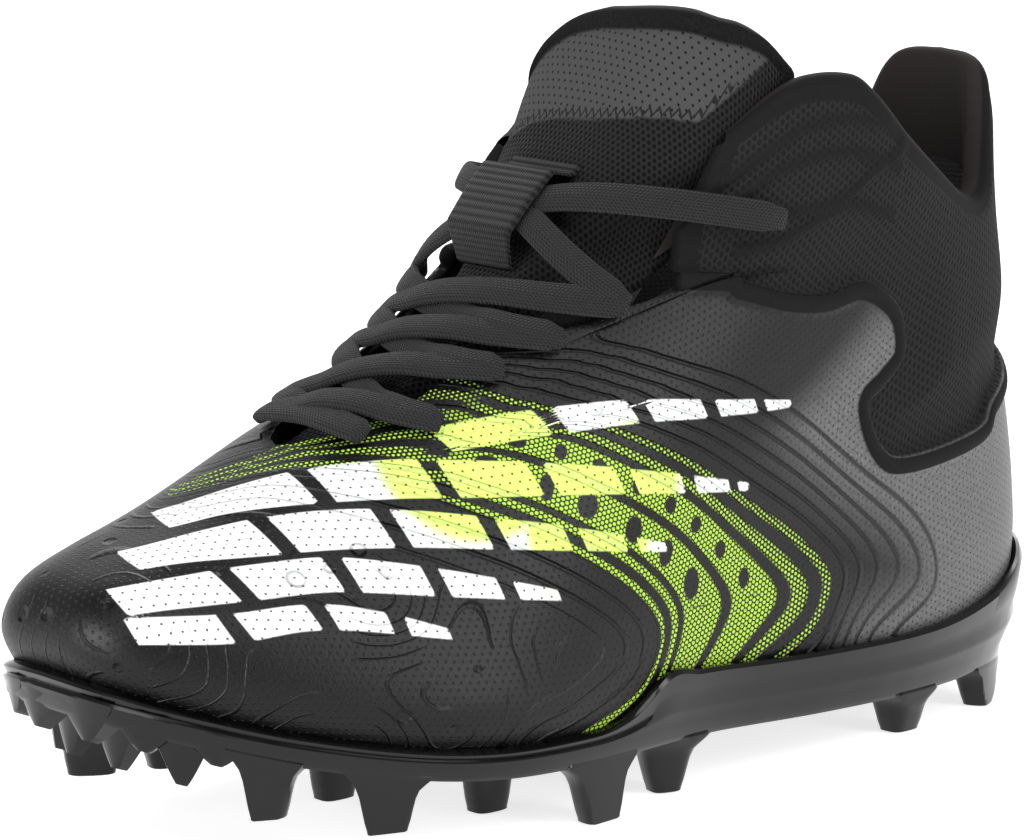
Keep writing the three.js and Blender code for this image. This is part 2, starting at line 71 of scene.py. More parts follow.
BED = [
    [0, 0, 0], [0.2, 0.4, 0], [0.42, 1, 0], [0.6, 0.2, 0.02], [0.72, 0, 0.12],
    [0.84, 0, 0.39], [0.93, 0, 0.7], [1, 0, 1],
]
PROFILE = [
    # level, backU, backZ, frontU, frontZ, follow, shift
    [0, 0.022, 0, 0.968, 0, 1, -0.08], [1, 0.004, 0.085, 0.983, 0.065, 1, -0.08],
    [2, -0.003, 0.185, 0.967, 0.162, 0.9, -0.075], [3, -0.003, 0.28, 0.922, 0.253, 0.75, -0.07],
    [4, 0.001, 0.362, 0.857, 0.353, 0.5, -0.06], [5, 0.008, 0.445, 0.774, 0.46, 0.3, -0.05],
    [6, 0.016, 0.538, 0.686, 0.552, 0.1, -0.04], [7, 0.022, 0.641, 0.596, 0.662, 0, -0.03],
    [8, 0.031, 0.744, 0.528, 0.794, 0, -0.02], [9, 0.036, 0.858, 0.478, 0.914, 0, -0.01],
    [10, 0.036, 1.002, 0.445, 1.039, 0, -0.01], [11, 0.033, 1.125, 0.418, 1.16, 0, -0.01],
]
WIDTHS = [
    # level, heelOut, waistOut, ballOut, toeOut, heelIn, waistIn, ballIn, toeIn, backRound, frontRound
    [0, 0.36, 0.35, 0.49, 0.42, 0.35, 0.27, 0.45, 0.4, 0.6, 0.56],
    [1, 0.4, 0.38, 0.53, 0.45, 0.39, 0.31, 0.48, 0.43, 0.6, 0.56],
    [2, 0.405, 0.39, 0.51, 0.44, 0.395, 0.34, 0.47, 0.42, 0.6, 0.58],
    [3, 0.395, 0.385, 0.48, 0.41, 0.385, 0.35, 0.45, 0.41, 0.62, 0.61],
    [4, 0.385, 0.385, 0.45, 0.39, 0.375, 0.355, 0.43, 0.4, 0.64, 0.64],
    [5, 0.375, 0.38, 0.425, 0.38, 0.37, 0.36, 0.41, 0.38, 0.66, 0.68],
    [6, 0.365, 0.375, 0.41, 0.375, 0.36, 0.36, 0.38, 0.35, 0.68, 0.7],
    [7, 0.36, 0.375, 0.395, 0.38, 0.355, 0.365, 0.38, 0.365, 0.7, 0.68],
    [8, 0.35, 0.38, 0.39, 0.385, 0.35, 0.375, 0.4, 0.405, 0.7, 0.64],
    [9, 0.34, 0.39, 0.395, 0.39, 0.34, 0.385, 0.42, 0.43, 0.7, 0.6],
    [10, 0.33, 0.395, 0.4, 0.39, 0.33, 0.39, 0.435, 0.45, 0.7, 0.6],
    [11, 0.33, 0.4, 0.4, 0.39, 0.33, 0.395, 0.44, 0.455, 0.7, 0.62],
]
COLLAR = [
    # angle, level outside, level inside
    [0, 9.98, 9.98], [22, 9.92, 9.92], [32, 9.7, 9.7], [39, 9.2, 9.2], [45, 8.5, 8.5],
    [52, 8.27, 8.27], [60, 8.4, 8.4], [69, 8.7, 8.65], [83, 9.2, 9.1], [94, 9.7, 9.6],
    [100, 9.9, 9.8], [111, 9.9, 9.8], [118, 9.7, 9.7], [127, 9.25, 9.3], [135, 8.9, 9],
    [180, 8.8, 8.8],
]
PLATE_LINE = [
    [0, 1.95], [20, 1.8], [32, 1.5], [44, 1.2], [56, 1], [77, 1], [87, 1.08], [91, 1.15],
    [95, 0.5], [99, 0.28], [140, 0.3], [180, 0.38],
]
THROAT = [
    # share of length, half width outwards and inwards
    [0.3, 0.32, 0.27], [0.43, 0.32, 0.25], [0.465, 0.3, 0.235], [0.49, 0.255, 0.22],
    [0.53, 0.222, 0.195], [0.57, 0.2, 0.17], [0.615, 0.182, 0.15], [0.665, 0.165, 0.13],
    [0.7, 0.135, 0.11], [0.73, 0.095, 0.08], [0.75, 0.04, 0.04],
]
CUFF_FRONT = [
    [0.43, 0.3, 0.24], [0.45, 0.335, 0.27], [0.5, 0.33, 0.26], [0.62, 0.33, 0.32],
]
EYELETS = [
    # level, outer angle, inner angle, lift of the lace
    [5.35, 152, 157, 0.6], [5.6, 140, 149, 0.6], [6.35, 140, 148, 0.6],
    [6.75, 135, 144, 0.7], [7.15, 128, 138, 1.4], [8.15, 108, 116, 2.4],
]
BANDS = [
    # outer eyelet, inner eyelet, level in the middle, height of the middle
    [0, 0, 5.5, 2.6], [0, 1, 5.6, 1.2], [1, 0, 5.72, 3.8], [1, 2, 6.02, 1.2],
    [2, 1, 6.18, 3.8], [2, 3, 6.55, 1.2], [3, 2, 6.7, 3.8], [3, 4, 7, 1.2],
    [4, 3, 7.15, 3.8], [4, 5, 8.16, 3.8], [5, 4, 8.2, 3.8],
]
PLATE_PROFILE = [
    # share of the side's height, offset from the form
    [0, GAP], [0.5, GAP], [0.97, GAP], [1.01, GAP + 0.35 * PLATE_WALL],
    [1.01, GAP + 0.7 * PLATE_WALL], [0.95, GAP + PLATE_WALL], [0.7, GAP + PLATE_WALL],
    [0.5, GAP + PLATE_WALL], [0.4, GAP + PLATE_WALL + 0.9 * PLATE_STEP],
    [0.3, GAP + PLATE_WALL + PLATE_STEP], [0.05, GAP + PLATE_WALL + PLATE_STEP],
]
STUDS = [
    # u, v, root length and width, tip length and width, turn of the blade, tip height
    [241, 29, 24, 15, 11, 7, 26, 12], [217, 39, 24, 15, 11, 7, 12, 6.5],
    [160, 43, 26, 15, 11.5, 7.5, -4, 0], [132, 33, 24, 14, 9, 7, -14, 0],
    [173, 20, 18, 13, 10, 7, 0, 0], [198, -3, 18, 13, 10, 7, 0, 2.5],
    [243, -32, 22, 14, 12, 7, -30, 10], [216, -40, 24, 14, 11, 7, -14, 5.5],
    [168, -36, 26, 14, 11, 7, 6, 0], [138, -25, 22, 13, 9, 7, 14, 0],
    [52, 28, 19, 20, 10, 8, 4, 0], [19, 22, 19, 20, 10, 8, 34, 0],
    [52, -27, 19, 20, 10, 8, -4, 0], [19, -21, 19, 20, 10, 8, -34, 0],
]
PLATE_BOTTOM = [
    # depth under the form, offset from it
    [0.5 * PLATE, GAP + PLATE_WALL + 0.9 * PLATE_STEP], [0.9 * PLATE, GAP + PLATE_WALL],
    [PLATE, GAP + 0.6 * PLATE_WALL],
]
STUD_RINGS = [
    # share of the way down, share of the full section
    [-0.1, 1], [0, 1], [0.06, 1], [0.14, 1], [0.25, 1], [0.4, 1], [0.6, 1], [0.8, 1],
    [0.93, 0.96], [0.985, 0.96], [1, 0.86],
]
STUD_FLARE = [[-0.14, 0], [0.04, 0.25], [0.26, 0.7], [0.6, 0.92], [1, 1.1]]
TEETH = [
    # angle, offset from the edge, half width, drop under the plate
    [140, 0, 8, 2.5], [152.5, 0, 8, 3.3], [167, 0, 8, 4.5], [-176, 0, 8, 4.7],
    [-164, 0, 7.5, 3.3], [-152, 0, 7.5, 3], [-142, 0, 7.5, 2.5], [146, -10, 7, 9],
    [168, -10, 7, 9], [-174, -10, 7, 9], [-157, -10, 7, 9],
]
TOOTH_SECTION = [
    # share of the half width, share of the way out
    [-1, 0.86], [-0.6, 1], [0, 1.05], [0.6, 1], [1, 0.86], [1, 0], [-1, 0],
]
INSOLE_PROFILE = [
    # share of the height, inset from the upper's wall
    [0.08, 2], [0.3, 1.2], [0.7, 0.8], [0.9, 0.8], [0.98, 1.2], [1, 2],
]
TUCK = -CUFF_WALL - 4 * GAP
TONGUE = [
    # rise, half sweep outwards and inwards, height of the face, the outer and the inner edge
    [0, 20, 20, -4, TUCK, TUCK], [0.12, 28, 26, -3.7, TUCK, TUCK], [0.26, 36, 31, -3, TUCK, TUCK],
    [0.4, 44, 36, -2.2, TUCK, TUCK], [0.53, 52, 40, -2, TUCK, TUCK],
    [0.65, 60, 42, -1.6, TUCK, TUCK], [0.77, 66, 40, -0.6, TUCK, TUCK],
    [0.88, 69, 37, 0.4, TUCK, TUCK], [0.94, 69, 35, 0.5, -6, -5.8],
    [0.985, 68, 33, 0.4, -5.4, -4.4], [1, 66, 31, -1.2, -5.6, -5],
]
TONGUE_FOOT = 4.4
TONGUE_TOP = [
    # share from the middle to a side, level of the top edge outwards and inwards
    [0, 10.62, 10.62], [0.3, 10.68, 10.48], [0.5, 10.66, 10.3], [0.65, 10.56, 10.1],
    [0.75, 10.5, 9.85], [0.86, 10.36, 9.6], [1, 10.0, 9.2],
]
LOOP = [
    # level, height of the underside, share of LOOP_WIDTH
    [7.52, -1.2, 0.86], [7.57, 0.9, 0.86], [7.7, 6.2, 0.9], [8.1, 6.5, 0.95],
    [8.44, 6, 1], [8.54, 1.4, 1], [8.6, -0.5, 1], [8.7, -0.4, 1],
]
# Landmarks in degrees round the form and levels up it, the outer side positive, past 180 the inner side
CUFF_EDGE = [
    (180, 7.5), (118, 7.45), (108, 7.3), (98, 7.1), (91, 7.05), (85, 7.15), (79, 6.95), (74, 6.6), (71, 6.05),
    (73, 5.65), (75, 5.35), (73, 4.85), (69, 4.25), (65, 4.05), (56, 4.1), (46, 4.3), (42, 4.7),
    (30, 5.1), (15, 5.55), (0, 5.7),
]
NEON_EDGE = [
    (200, 4.3), (190, 4.7), (181, 5.0), (173, 5.35), (167, 5.7), (160, 6.05), (152, 6.3), (132, 6.05),
    (120, 5.8), (108, 5.3), (97, 4.7), (89, 4.1), (80, 3.3), (75, 2.7), (72, 2.2), (72, 1.8),
    (73, 1.35), (76, 1.0), (80, 0.5), (84, -0.2),
]
NEON_BACK = [
    (104, -0.2), (99, 0.35), (95, 0.75), (93, 1.1), (92, 1.6), (93, 2.05), (97, 2.65), (103, 3.25),
    (109, 3.7), (115, 4.05), (121, 4.3), (127, 4.5), (136, 4.7), (145, 4.8), (160, 4.85), (172, 4.75),
    (182, 4.5), (195, 4.2),
]
GROOVE_EDGE = [
    (150, 6.95), (136, 6.8), (126, 6.65), (114, 6.4), (98, 5.95), (84, 5.15), (69, 3.8), (61, 2.95), (57, 2.25),
    (56, 1.6), (61, 1.2), (65, 0.95),
]
SHORT_GROOVES = [[(138, 7.2), (122, 7.05), (107, 6.75)], [(132, 6.95), (114, 6.65), (100, 6.25)]]
CUFF_WAVES = [
    [(124, 8.6), (117, 9.0), (110, 9.3), (100, 9.4), (90, 9.3)],
    [(121, 8.2), (115, 8.65), (108, 8.9), (98, 9.0), (86, 8.8)],
    [(117, 8.05), (109, 8.2), (98, 8.35), (92, 8.75), (84, 9.15)],
    [(112, 7.75), (105, 7.85), (99, 8.15), (94, 8.3), (84, 8.15)],
]
# A generic pattern: rows of slanted white blocks that shrink towards the heel
BLOCK_ROWS = [
    # line through the row, then blocks as start, end, half width at both ends
    (
        [(137, 5.4), (129, 5.55), (121, 5.65), (111, 5.7), (99, 5.6), (88, 5.5)],
        [(0, 24, 3.4, 3.2), (28, 46, 3.1, 2.7), (50, 65, 2.5, 2.1), (69, 81, 1.9, 1.5), (84, 93, 1.3, 0.8)],
    ),
    (
        [(185, 3.8), (171, 4.3), (154, 4.65), (139, 4.8), (129, 4.8), (114, 4.7), (102, 4.5), (88, 4.15)],
        [
            (2, 34, 5.2, 5.2), (38, 62, 5.0, 4.6), (66, 86, 4.4, 3.8), (90, 107, 3.6, 2.9),
            (111, 125, 2.7, 2.1), (129, 140, 1.9, 1.3), (143, 151, 1.1, 0.7),
        ],
    ),
    (
        [(172, 3.0), (159, 3.6), (143, 4.0), (129, 4.1), (116, 3.95), (104, 3.65), (90, 3.1)],
        [
            (0, 30, 5.2, 5.2), (34, 56, 5.0, 4.5), (60, 79, 4.3, 3.6), (83, 99, 3.4, 2.7),
            (103, 115, 2.4, 1.8), (119, 128, 1.5, 0.9),
        ],
    ),
    (
        [(161, 2.1), (150, 2.6), (140, 3.05), (131, 3.3), (119, 3.2), (108, 2.9), (96, 2.4)],
        [(0, 24, 4.0, 4.3), (28, 48, 4.3, 4.0), (52, 69, 3.9, 3.2), (73, 86, 3.0, 2.2), (90, 101, 1.9, 1.1)],
    ),
    (
        [(154, 1.6), (140, 2.0), (131, 2.45), (123, 2.5), (112, 2.2), (102, 1.7)],
        [(0, 20, 2.8, 3.2), (24, 40, 3.2, 2.9), (44, 57, 2.9, 2.2), (61, 71, 1.9, 1.1)],
    ),
]
PRINT_BANDS = [
    # share of the way from the outer edge of the neon field to the inner edge
    (-0.02, 0.04), (0.12, 0.19), (0.25, 0.45), (0.51, 0.77), (0.82, 0.88), (0.95, 1.02),
]
PRINT_GAPS = [(0.04, 0.12), (0.19, 0.25), (0.45, 0.51), (0.77, 0.82), (0.88, 0.95)]
PRINT_HOLES = [
    # share across the field, pitch along it, phase, half length, half width in millimetres
    (0.64, 12.5, 0.2, 2.6, 3.2), (0.35, 10.5, 0.6, 1.9, 2.0),
]
RIBS = 6
TOE_RIB_PITCH = 4.6
# Millimetres past the field's edges in which flow gains 1
PAST_SCALE = 30
BRIGHT_SPOTS = [
    # angle, level, radius of the blocks printed bright
    (130, 5.2, 21), (106, 3.9, 17), (104, 4.6, 12),
]
LINING_ANGLES = (0, 15, 30, 46, 65, 75, 85, 98, 108, 118, 180)
COLLAR_ROLL = [
    # millimetres under the collar, offset from the form
    (1.6, 0.4), (1.0, -0.1), (0.5, -0.8), (0.15, -1.7), (0.0, -2.75), (0.15, -3.8), (0.5, -4.6),
    (1.0, -5.1), (1.8, -5.4), (4.0, -5.5), (9.0, -5.5), (16.0, -5.4), (24.0, -5.2),
]
COLUMNS, ROWS = ((520, 165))
RIM_COLUMNS = 7
AZIMUTH, ELEVATION = math.radians(49.27), math.radians(10.6)
AIM = Vector((2.156, -5.963, 75.0)) * MM
LIT = Vector((0, 0, 0.07))


# Curves and the form
def hermite(xs, ys, x):
    """A smooth curve through (xs, ys); ys may hold one column per value of x."""
    last = len(xs) - 1
    before = np.maximum(np.arange(last + 1) - 1, 0)
    after = np.minimum(np.arange(last + 1) + 1, last)
    run = (xs[after] - xs[before]).reshape((-1,) + (1,) * (ys.ndim - 1))
    slopes = (ys[after] - ys[before]) / run
    x = np.clip(x, xs[0], xs[-1])
    i = np.clip(np.searchsorted(xs, x, side="left") - 1, 0, last - 1)
    span = xs[i + 1] - xs[i]
    t = (x - xs[i]) / span
    lane = (np.arange(ys.shape[1]),) if ys.ndim == 2 else ()
    low, high = (i,) + lane, (i + 1,) + lane
    ends = ys[low] * (1 + 2 * t) * (1 - t) ** 2 + ys[high] * t * t * (3 - 2 * t)
    return ends + span * (slopes[low] * t * (1 - t) ** 2 - slopes[high] * t * t * (1 - t))


def curve_of(rows, column=1):
    xs = np.array([row[0] for row in rows], float)
    ys = np.array([row[column] for row in rows], float)
    return lambda x: hermite(xs, ys, np.asarray(x, float))


def smooth(x, low, high):
    t = np.clip((x - low) / (high - low), 0, 1)
    return t * t * (3 - 2 * t)


def lerp(a, b, t):
    return a + (b - a) * t


def soft(x, power):
    """A sine or cosine squared off for a rounded box."""
    return np.sign(x) * np.abs(x) ** power


arch_share, spring_share = curve_of(BED, 1), curve_of(BED, 2)


def bed_at(u):
    """Height of the foot's bed at a length from the heel."""
    share = np.asarray(u, float) / LENGTH
    ball = (FORE_STUD - HEEL_STUD) * smooth(share, 0.3, 0.65)
    return SEAT + ball + ARCH_RISE * arch_share(share) + TOE_SPRING * spring_share(share)


BACK_U, BACK_Z, FRONT_U, FRONT_Z, FOLLOW, SHIFT = [curve_of(PROFILE, c) for c in range(1, 7)]
WIDTH = [curve_of(WIDTHS, c) for c in range(1, 11)]
STATIONS = np.array([0, 0.17, 0.42, 0.7, 1.0])
STATION_WIDTH = [0, 0, 1, 2, 3]


def wrap(angle):
    return (np.asarray(angle, float) + 180) % 360 - 180


def form_point(level, angle):
    """Points of the form, at levels up it and angles round it from the heel."""
    level, angle = [np.asarray(a, float) for a in np.broadcast_arrays(level, angle)]
    shape = level.shape
    level, angle = level.ravel(), angle.ravel()
    swept = np.arcsin(np.minimum(1, np.sin(np.radians(np.minimum(np.abs(angle), 180))) ** 1.5))
    turn = np.where(np.abs(angle) > 90, np.pi - swept, swept)
    s = (1 - np.cos(turn)) / 2
    inner = angle < 0
    widths = np.array([np.where(inner, WIDTH[i + 4](level), WIDTH[i](level)) for i in STATION_WIDTH])
    blunt = lerp(WIDTH[8](level), WIDTH[9](level), smooth(s, 0.1, 0.9))
    u = LENGTH * lerp(BACK_U(level), FRONT_U(level), s)
    sin_turn = np.maximum(np.sin(turn), 0)
    half = BALL_WIDTH * hermite(STATIONS, widths, s) * sin_turn ** blunt * np.sign(angle)
    rise = HEEL_HEIGHT * lerp(BACK_Z(level), FRONT_Z(level), s)
    x = half + BALL_WIDTH * SHIFT(level) * smooth(s, 0.35, 1)
    z = SEAT + rise + FOLLOW(level) * (bed_at(u) - SEAT)
    return np.stack([x, LENGTH / 2 - u, z], -1).reshape(shape + (3,))


def unit(v):
    return v / np.maximum(np.linalg.norm(v, axis=-1, keepdims=True), 1e-12)


def normal_at(level, angle):
    level = np.asarray(level, float)
    along = form_point(level + 0.15, angle) - form_point(np.maximum(level - 0.15, 0), angle)
    ahead, behind = wrap(np.asarray(angle) + 2.5), wrap(np.asarray(angle) - 2.5)
    return unit(np.cross(along, form_point(level, ahead) - form_point(level, behind)))


def skin_point(level, angle, offset=0.0):
    """Points that stand off the form along its normals."""
    level, angle, offset = np.broadcast_arrays(level, angle, offset)
    return form_point(level, angle) + normal_at(level, angle) * offset[..., None]


def line_at(rows):
    """A level for each angle; a third column is the inner side's."""
    outer, inner = curve_of(rows, 1), curve_of(rows, len(rows[0]) - 1)
    return lambda a: np.where(np.asarray(a) < 0, inner(np.abs(a)), outer(np.abs(a)))


collar_at, plate_at = line_at(COLLAR), line_at(PLATE_LINE)


# Meshes
def add_to_scene(name, data):
    made = bpy.data.objects.new(name, data)
    bpy.context.scene.collection.objects.link(made)
    return made


def make_object(name, points, faces, material):
    mesh = bpy.data.meshes.new(name)
    mesh.from_pydata((np.asarray(points) + MIDDLE) * MM, [], [tuple(int(i) for i in f) for f in faces])
    mesh.polygons.foreach_set("use_smooth", [True] * len(mesh.polygons))
    mesh.update()
    mesh.materials.append(material)
    return add_to_scene(name, mesh)


def add_attribute(piece, name, values):
    """A number or a place for each point; two columns become a place in a plane."""
    values = np.asarray(values, float)
    if values.ndim == 2 and values.shape[1] == 2:
        values = np.column_stack([values, np.zeros(len(values))])
    kind, field = ("FLOAT_VECTOR", "vector") if values.ndim == 2 else ("FLOAT", "value")
    layer = piece.data.attributes.new(name, kind, "POINT")
    layer.data.foreach_set(field, values.ravel())


def grid_faces(rows, columns, closed=False, start=0, keep=None):
    """Quads of a grid of rows x columns points, as an array of indexes."""
    r, c = np.meshgrid(np.arange(rows - 1), np.arange(columns if closed else columns - 1), indexing="ij")
    if keep is not None:
        r, c = r[keep], c[keep]
    r, c = r.ravel() * columns + start, c.ravel()
    d = (c + 1) % columns
    return np.stack([r + c, r + d, r + columns + d, r + columns + c], 1)


def facing_out(points, faces):
    """The faces turned so that the closed mesh faces out."""
    centred = points - points.mean(0)
    a, b, c = [centred[[face[i] for face in faces]] for i in range(3)]
    volume = np.einsum("ij,ij->i", a, np.cross(b, c)).sum()
    return faces if volume > 0 else [face[::-1] for face in faces]


def closed_loft(rings, mirror=False):
    """Points and quads of closed rings; its ends are one face, or join the two sides of a ring."""
    rings = np.array(rings)
    rows, count = rings.shape[:2]
    faces = list(grid_faces(rows, count, closed=True))
    for start, flip in ((0, True), ((rows - 1) * count, False)):
        ends = [[start + i for i in range(count)]]
        if mirror:
            pairs = [(start + i, start + (count - i) % count) for i in range(count // 2 + 1)]
            ends = [list(dict.fromkeys((a, c, d, b))) for (a, b), (c, d) in zip(pairs, pairs[1:])]
        faces += [end[::-1] if flip else end for end in ends]
    return rings.reshape(-1, 3), faces


def joined(parts):
    """Points and faces of several closed meshes as one, each facing out."""
    points, faces, start = [], [], 0
    for part_points, part_faces in parts:
        faces += [np.add(face, start) for face in facing_out(part_points, part_faces)]
        points.append(part_points)
        start += len(part_points)
    return np.concatenate(points), faces


def weld(piece, distance=0.02):
    work = bmesh.new()
    work.from_mesh(piece.data)
    bmesh.ops.remove_doubles(work, verts=work.verts, dist=distance * MM)
    bmesh.ops.dissolve_degenerate(work, edges=work.edges, dist=distance * MM)
    work.to_mesh(piece.data)
    work.free()


# Lines and regions on the form
def run_along(points, axis=0):
    """Length covered at each point of a line, or of each line of a grid."""
    steps = np.linalg.norm(np.diff(points, axis=axis), axis=-1)
    return np.insert(steps.cumsum(axis), 0, 0, axis)


def flowing(controls, per=12):
    """A Catmull-Rom line through (angle, level) controls."""
    p = np.array(controls, float)
    p = np.concatenate([p[:1], p, p[-1:]])
    t = (np.arange(per) / per)[:, None]
    out = []
    for a, b, c, d in zip(p, p[1:], p[2:], p[3:]):
        bend = (2 * a - 5 * b + 4 * c - d) * t**2 + (3 * b - a - 3 * c + d) * t**3
        out.append(0.5 * (2 * b + (c - a) * t + bend))
    return np.concatenate(out + [p[-1:]])


def on_form(line):
    return form_point(line[:, 1], wrap(line[:, 0]))


def to_line(points, line):
    """Distance from each point to a 3-D line, and how far along the line it is nearest."""
    a, b = line[:-1], line[1:]
    ab = b - a
    size = np.maximum((ab**2).sum(1), 1e-12)
    starts = np.concatenate([[0], np.cumsum(np.sqrt(size))[:-1]])
    best = np.full(len(points), 1e9)
    along = np.zeros(len(points))
    for i in range(len(a)):
        t = np.clip(((points - a[i]) @ ab[i]) / size[i], 0, 1)
        d = ((points - a[i] - t[:, None] * ab[i]) ** 2).sum(1)
        near = d < best
        best[near] = d[near]
        along[near] = starts[i] + t[near] * np.sqrt(size[i])
    return np.sqrt(best), along


def far_from(points, controls):
    """Distance from each point to a line through controls on the form."""
    return to_line(points, on_form(flowing(controls)))[0]


def inside(angle, level, loop):
    """Whether (angle, level) lies in a closed loop."""
    hit = np.zeros(angle.shape, bool)
    for (x0, y0), (x1, y1) in zip(loop, np.roll(loop, -1, 0)):
        if y0 == y1:
            continue
        cross = (y0 > level) != (y1 > level)
        hit ^= cross & (angle < (x1 - x0) * (level - y0) / (y1 - y0) + x0)
    return hit


# Flattening, so that dots keep their size
def flatten_grid(points, guess, rounds=12):
    """Unrolls a coarse grid of points (rows x columns x 3) to the plane, as rigidly as it goes."""
    rows, columns = points.shape[:2]
    quads = grid_faces(rows, columns)
    tris = np.concatenate([quads[:, [0, 1, 2]], quads[:, [0, 2, 3]]])
    a, b, c = [points.reshape(-1, 3)[tris[:, k]] for k in range(3)]
    length = np.linalg.norm(b - a, axis=1)
    x_axis = (b - a) / length[:, None]
    side = c - a
    flat_c = np.stack([(side * x_axis).sum(1), np.linalg.norm(np.cross(x_axis, side), axis=1)], 1)
    rest = np.stack([np.zeros_like(flat_c), np.stack([length, 0 * length], 1), flat_c], 1)
    area = np.maximum(0.5 * length * flat_c[:, 1], 1e-3)
    edges = [(0, 1, 2), (1, 2, 0), (2, 0, 1)]
    count = rows * columns
    matrix = np.zeros((count, count))
    weights = []
    for i, j, k in edges:
        u, v = rest[:, i] - rest[:, k], rest[:, j] - rest[:, k]
        w = np.clip((u * v).sum(1) / (2 * area) / 2, 0.02, 5)
        weights.append(w)
        for s, t in ((i, j), (j, i)):
            np.add.at(matrix, (tris[:, s], tris[:, s]), w)
            np.add.at(matrix, (tris[:, s], tris[:, t]), -w)
    matrix[0, 0] += 1
    inverse = np.linalg.inv(matrix)
    flat = guess.reshape(-1, 2)
    held = flat[0]
    for _ in range(rounds):
        turn = np.zeros((len(tris), 2))
        for (i, j, k), w in zip(edges, weights):
            r, f = rest[:, i] - rest[:, j], flat[tris[:, i]] - flat[tris[:, j]]
            turn[:, 0] += w * (r * f).sum(1)
            turn[:, 1] += w * (r[:, 0] * f[:, 1] - r[:, 1] * f[:, 0])
        cos, sin = (turn / np.maximum(np.hypot(*turn.T), 1e-9)[:, None]).T
        target = np.zeros((count, 2))
        for (i, j, k), w in zip(edges, weights):
            x, y = (rest[:, i] - rest[:, j]).T
            turned = w[:, None] * np.stack([cos * x - sin * y, sin * x + cos * y], 1)
            np.add.at(target, tris[:, i], turned)
            np.add.at(target, tris[:, j], -turned)
        target[0] += held
        flat = inverse @ target
    return flat.reshape(rows, columns, 2)


# Materials
SHADER_INPUTS = {
    "sheen": "Sheen Weight", "sheen_roughness": "Sheen Roughness", "coat": "Coat Weight",
    "coat_roughness": "Coat Roughness", "specular": "Specular IOR Level",
}


class Value:
    """The output of a node, so that sums of nodes are written as sums."""

    def __init__(self, nodes, socket):
        self.nodes, self.socket = nodes, socket

    def other(self, output):
        """Another output of the same node."""
        return Value(self.nodes, self.socket.node.outputs[output])

    def __add__(self, other):
        return self.nodes.math("ADD", self, other)

    def __sub__(self, other):
        return self.nodes.math("SUBTRACT", self, other)

    def __rsub__(self, other):
        return self.nodes.math("SUBTRACT", other, self)

    def __mul__(self, other):
        return self.nodes.math("MULTIPLY", self, other)

    def __truediv__(self, other):
        return self.nodes.math("DIVIDE", self, other)

    def __abs__(self):
        return self.nodes.math("ABSOLUTE", self)


class Nodes:
    """Short names for the nodes of one material."""

    def __init__(self, name):
        self.material = bpy.data.materials.new(name)
        self.material.use_nodes = True
        self.tree = self.material.node_tree
        self.shader = self.tree.nodes["Principled BSDF"]

    def link(self, value, socket):
        if isinstance(value, Value):
            self.tree.links.new(value.socket, socket)
        elif socket.type == "RGBA":
            socket.default_value = value + (1.0,)
        else:
            socket.default_value = value

    def node(self, kind, values=(), output=0, **settings):
        """One output of a new node; values fill its inputs by place, or by name from a dict."""
        node = self.tree.nodes.new("ShaderNode" + kind)
        for key, value in settings.items():
            setattr(node, key, value)
        for key, value in values.items() if isinstance(values, dict) else enumerate(values):
            self.link(value, node.inputs[key])
        return Value(self, node.outputs[output])

    def math(self, kind, *values, clamp=False):
        return self.node("Math", values, operation=kind, use_clamp=clamp)

    def vector(self, kind, *values):
        output = "Value" if kind == "LENGTH" else "Vector"
        return self.node("VectorMath", values, output, operation=kind)

    def most(self, first, *others):
        """The largest of several values."""
        for value in others:
            first = self.math("MAXIMUM", first, value)
        return first

    def fold(self, value):
        """Runs from 0 to a half and back for each whole step of the value."""
        return self.math("PINGPONG", value, 0.5)

    def attributes(self, *names):
        return [self.node("Attribute", output="Fac", attribute_name=name) for name in names]

    def flat(self):
        """Millimetres on the unrolled piece."""
        return self.node("Attribute", output="Vector", attribute_name="flat")

    def place(self):
        """Object coordinates in millimetres."""
        return self.vector("MULTIPLY", self.node("TexCoord", output="Object"), (1 / MM,) * 3)

    def noise(self, place, scale, detail=2.0, rough=0.5):
        values = {"Vector": place, "Scale": scale, "Detail": detail, "Roughness": rough}
        return self.node("TexNoise", values, "Fac")

    def split(self, vector):
        first = self.node("SeparateXYZ", (vector,))
        return [first.other(k) for k in range(3)]

    def step(self, value, low, high, to_low=0.0, to_high=1.0):
        values = (value, low, high, to_low, to_high)
        return self.node("MapRange", values, interpolation_type="SMOOTHSTEP")

    def fall(self, value, low, high):
        return self.step(value, low, high, 1.0, 0.0)

    def mix(self, share, a, b):
        return self.node("Mix", {0: share, 6: a, 7: b}, 2, data_type="RGBA")

    def cells(self, place, pitch):
        """Distance in millimetres to the nearest point of a hexagonal lattice."""
        size = (pitch, pitch * math.sqrt(3), 0.0)
        away = []
        for shift in (0.0, 0.5):
            scaled = self.vector("MULTIPLY_ADD", place, (1 / size[0], 1 / size[1], 0.0), (shift, shift, 0.0))
            part = self.vector("SUBTRACT", self.vector("FRACTION", scaled), (0.5, 0.5, 0.0))
            away.append(self.vector("LENGTH", self.vector("MULTIPLY", part, size)))
        return self.math("MINIMUM", *away)

    def finish(self, color, roughness, relief=None, depth=1.0, **values):
        """Fills the shader; the relief is a bump of the depth in millimetres."""
        self.link(color, self.shader.inputs["Base Color"])
        self.link(roughness, self.shader.inputs["Roughness"])
        if relief is not None:
            normal = self.node("Bump", {"Distance": depth * MM, "Height": relief})
            self.link(normal, self.shader.inputs["Normal"])
        for key, value in values.items():
            self.shader.inputs[SHADER_INPUTS[key]].default_value = value
        return self.material


def grey(value):
    """Linear grey from a screen value of 0 to 255."""
    return ((value / 255) ** 2.2,) * 3


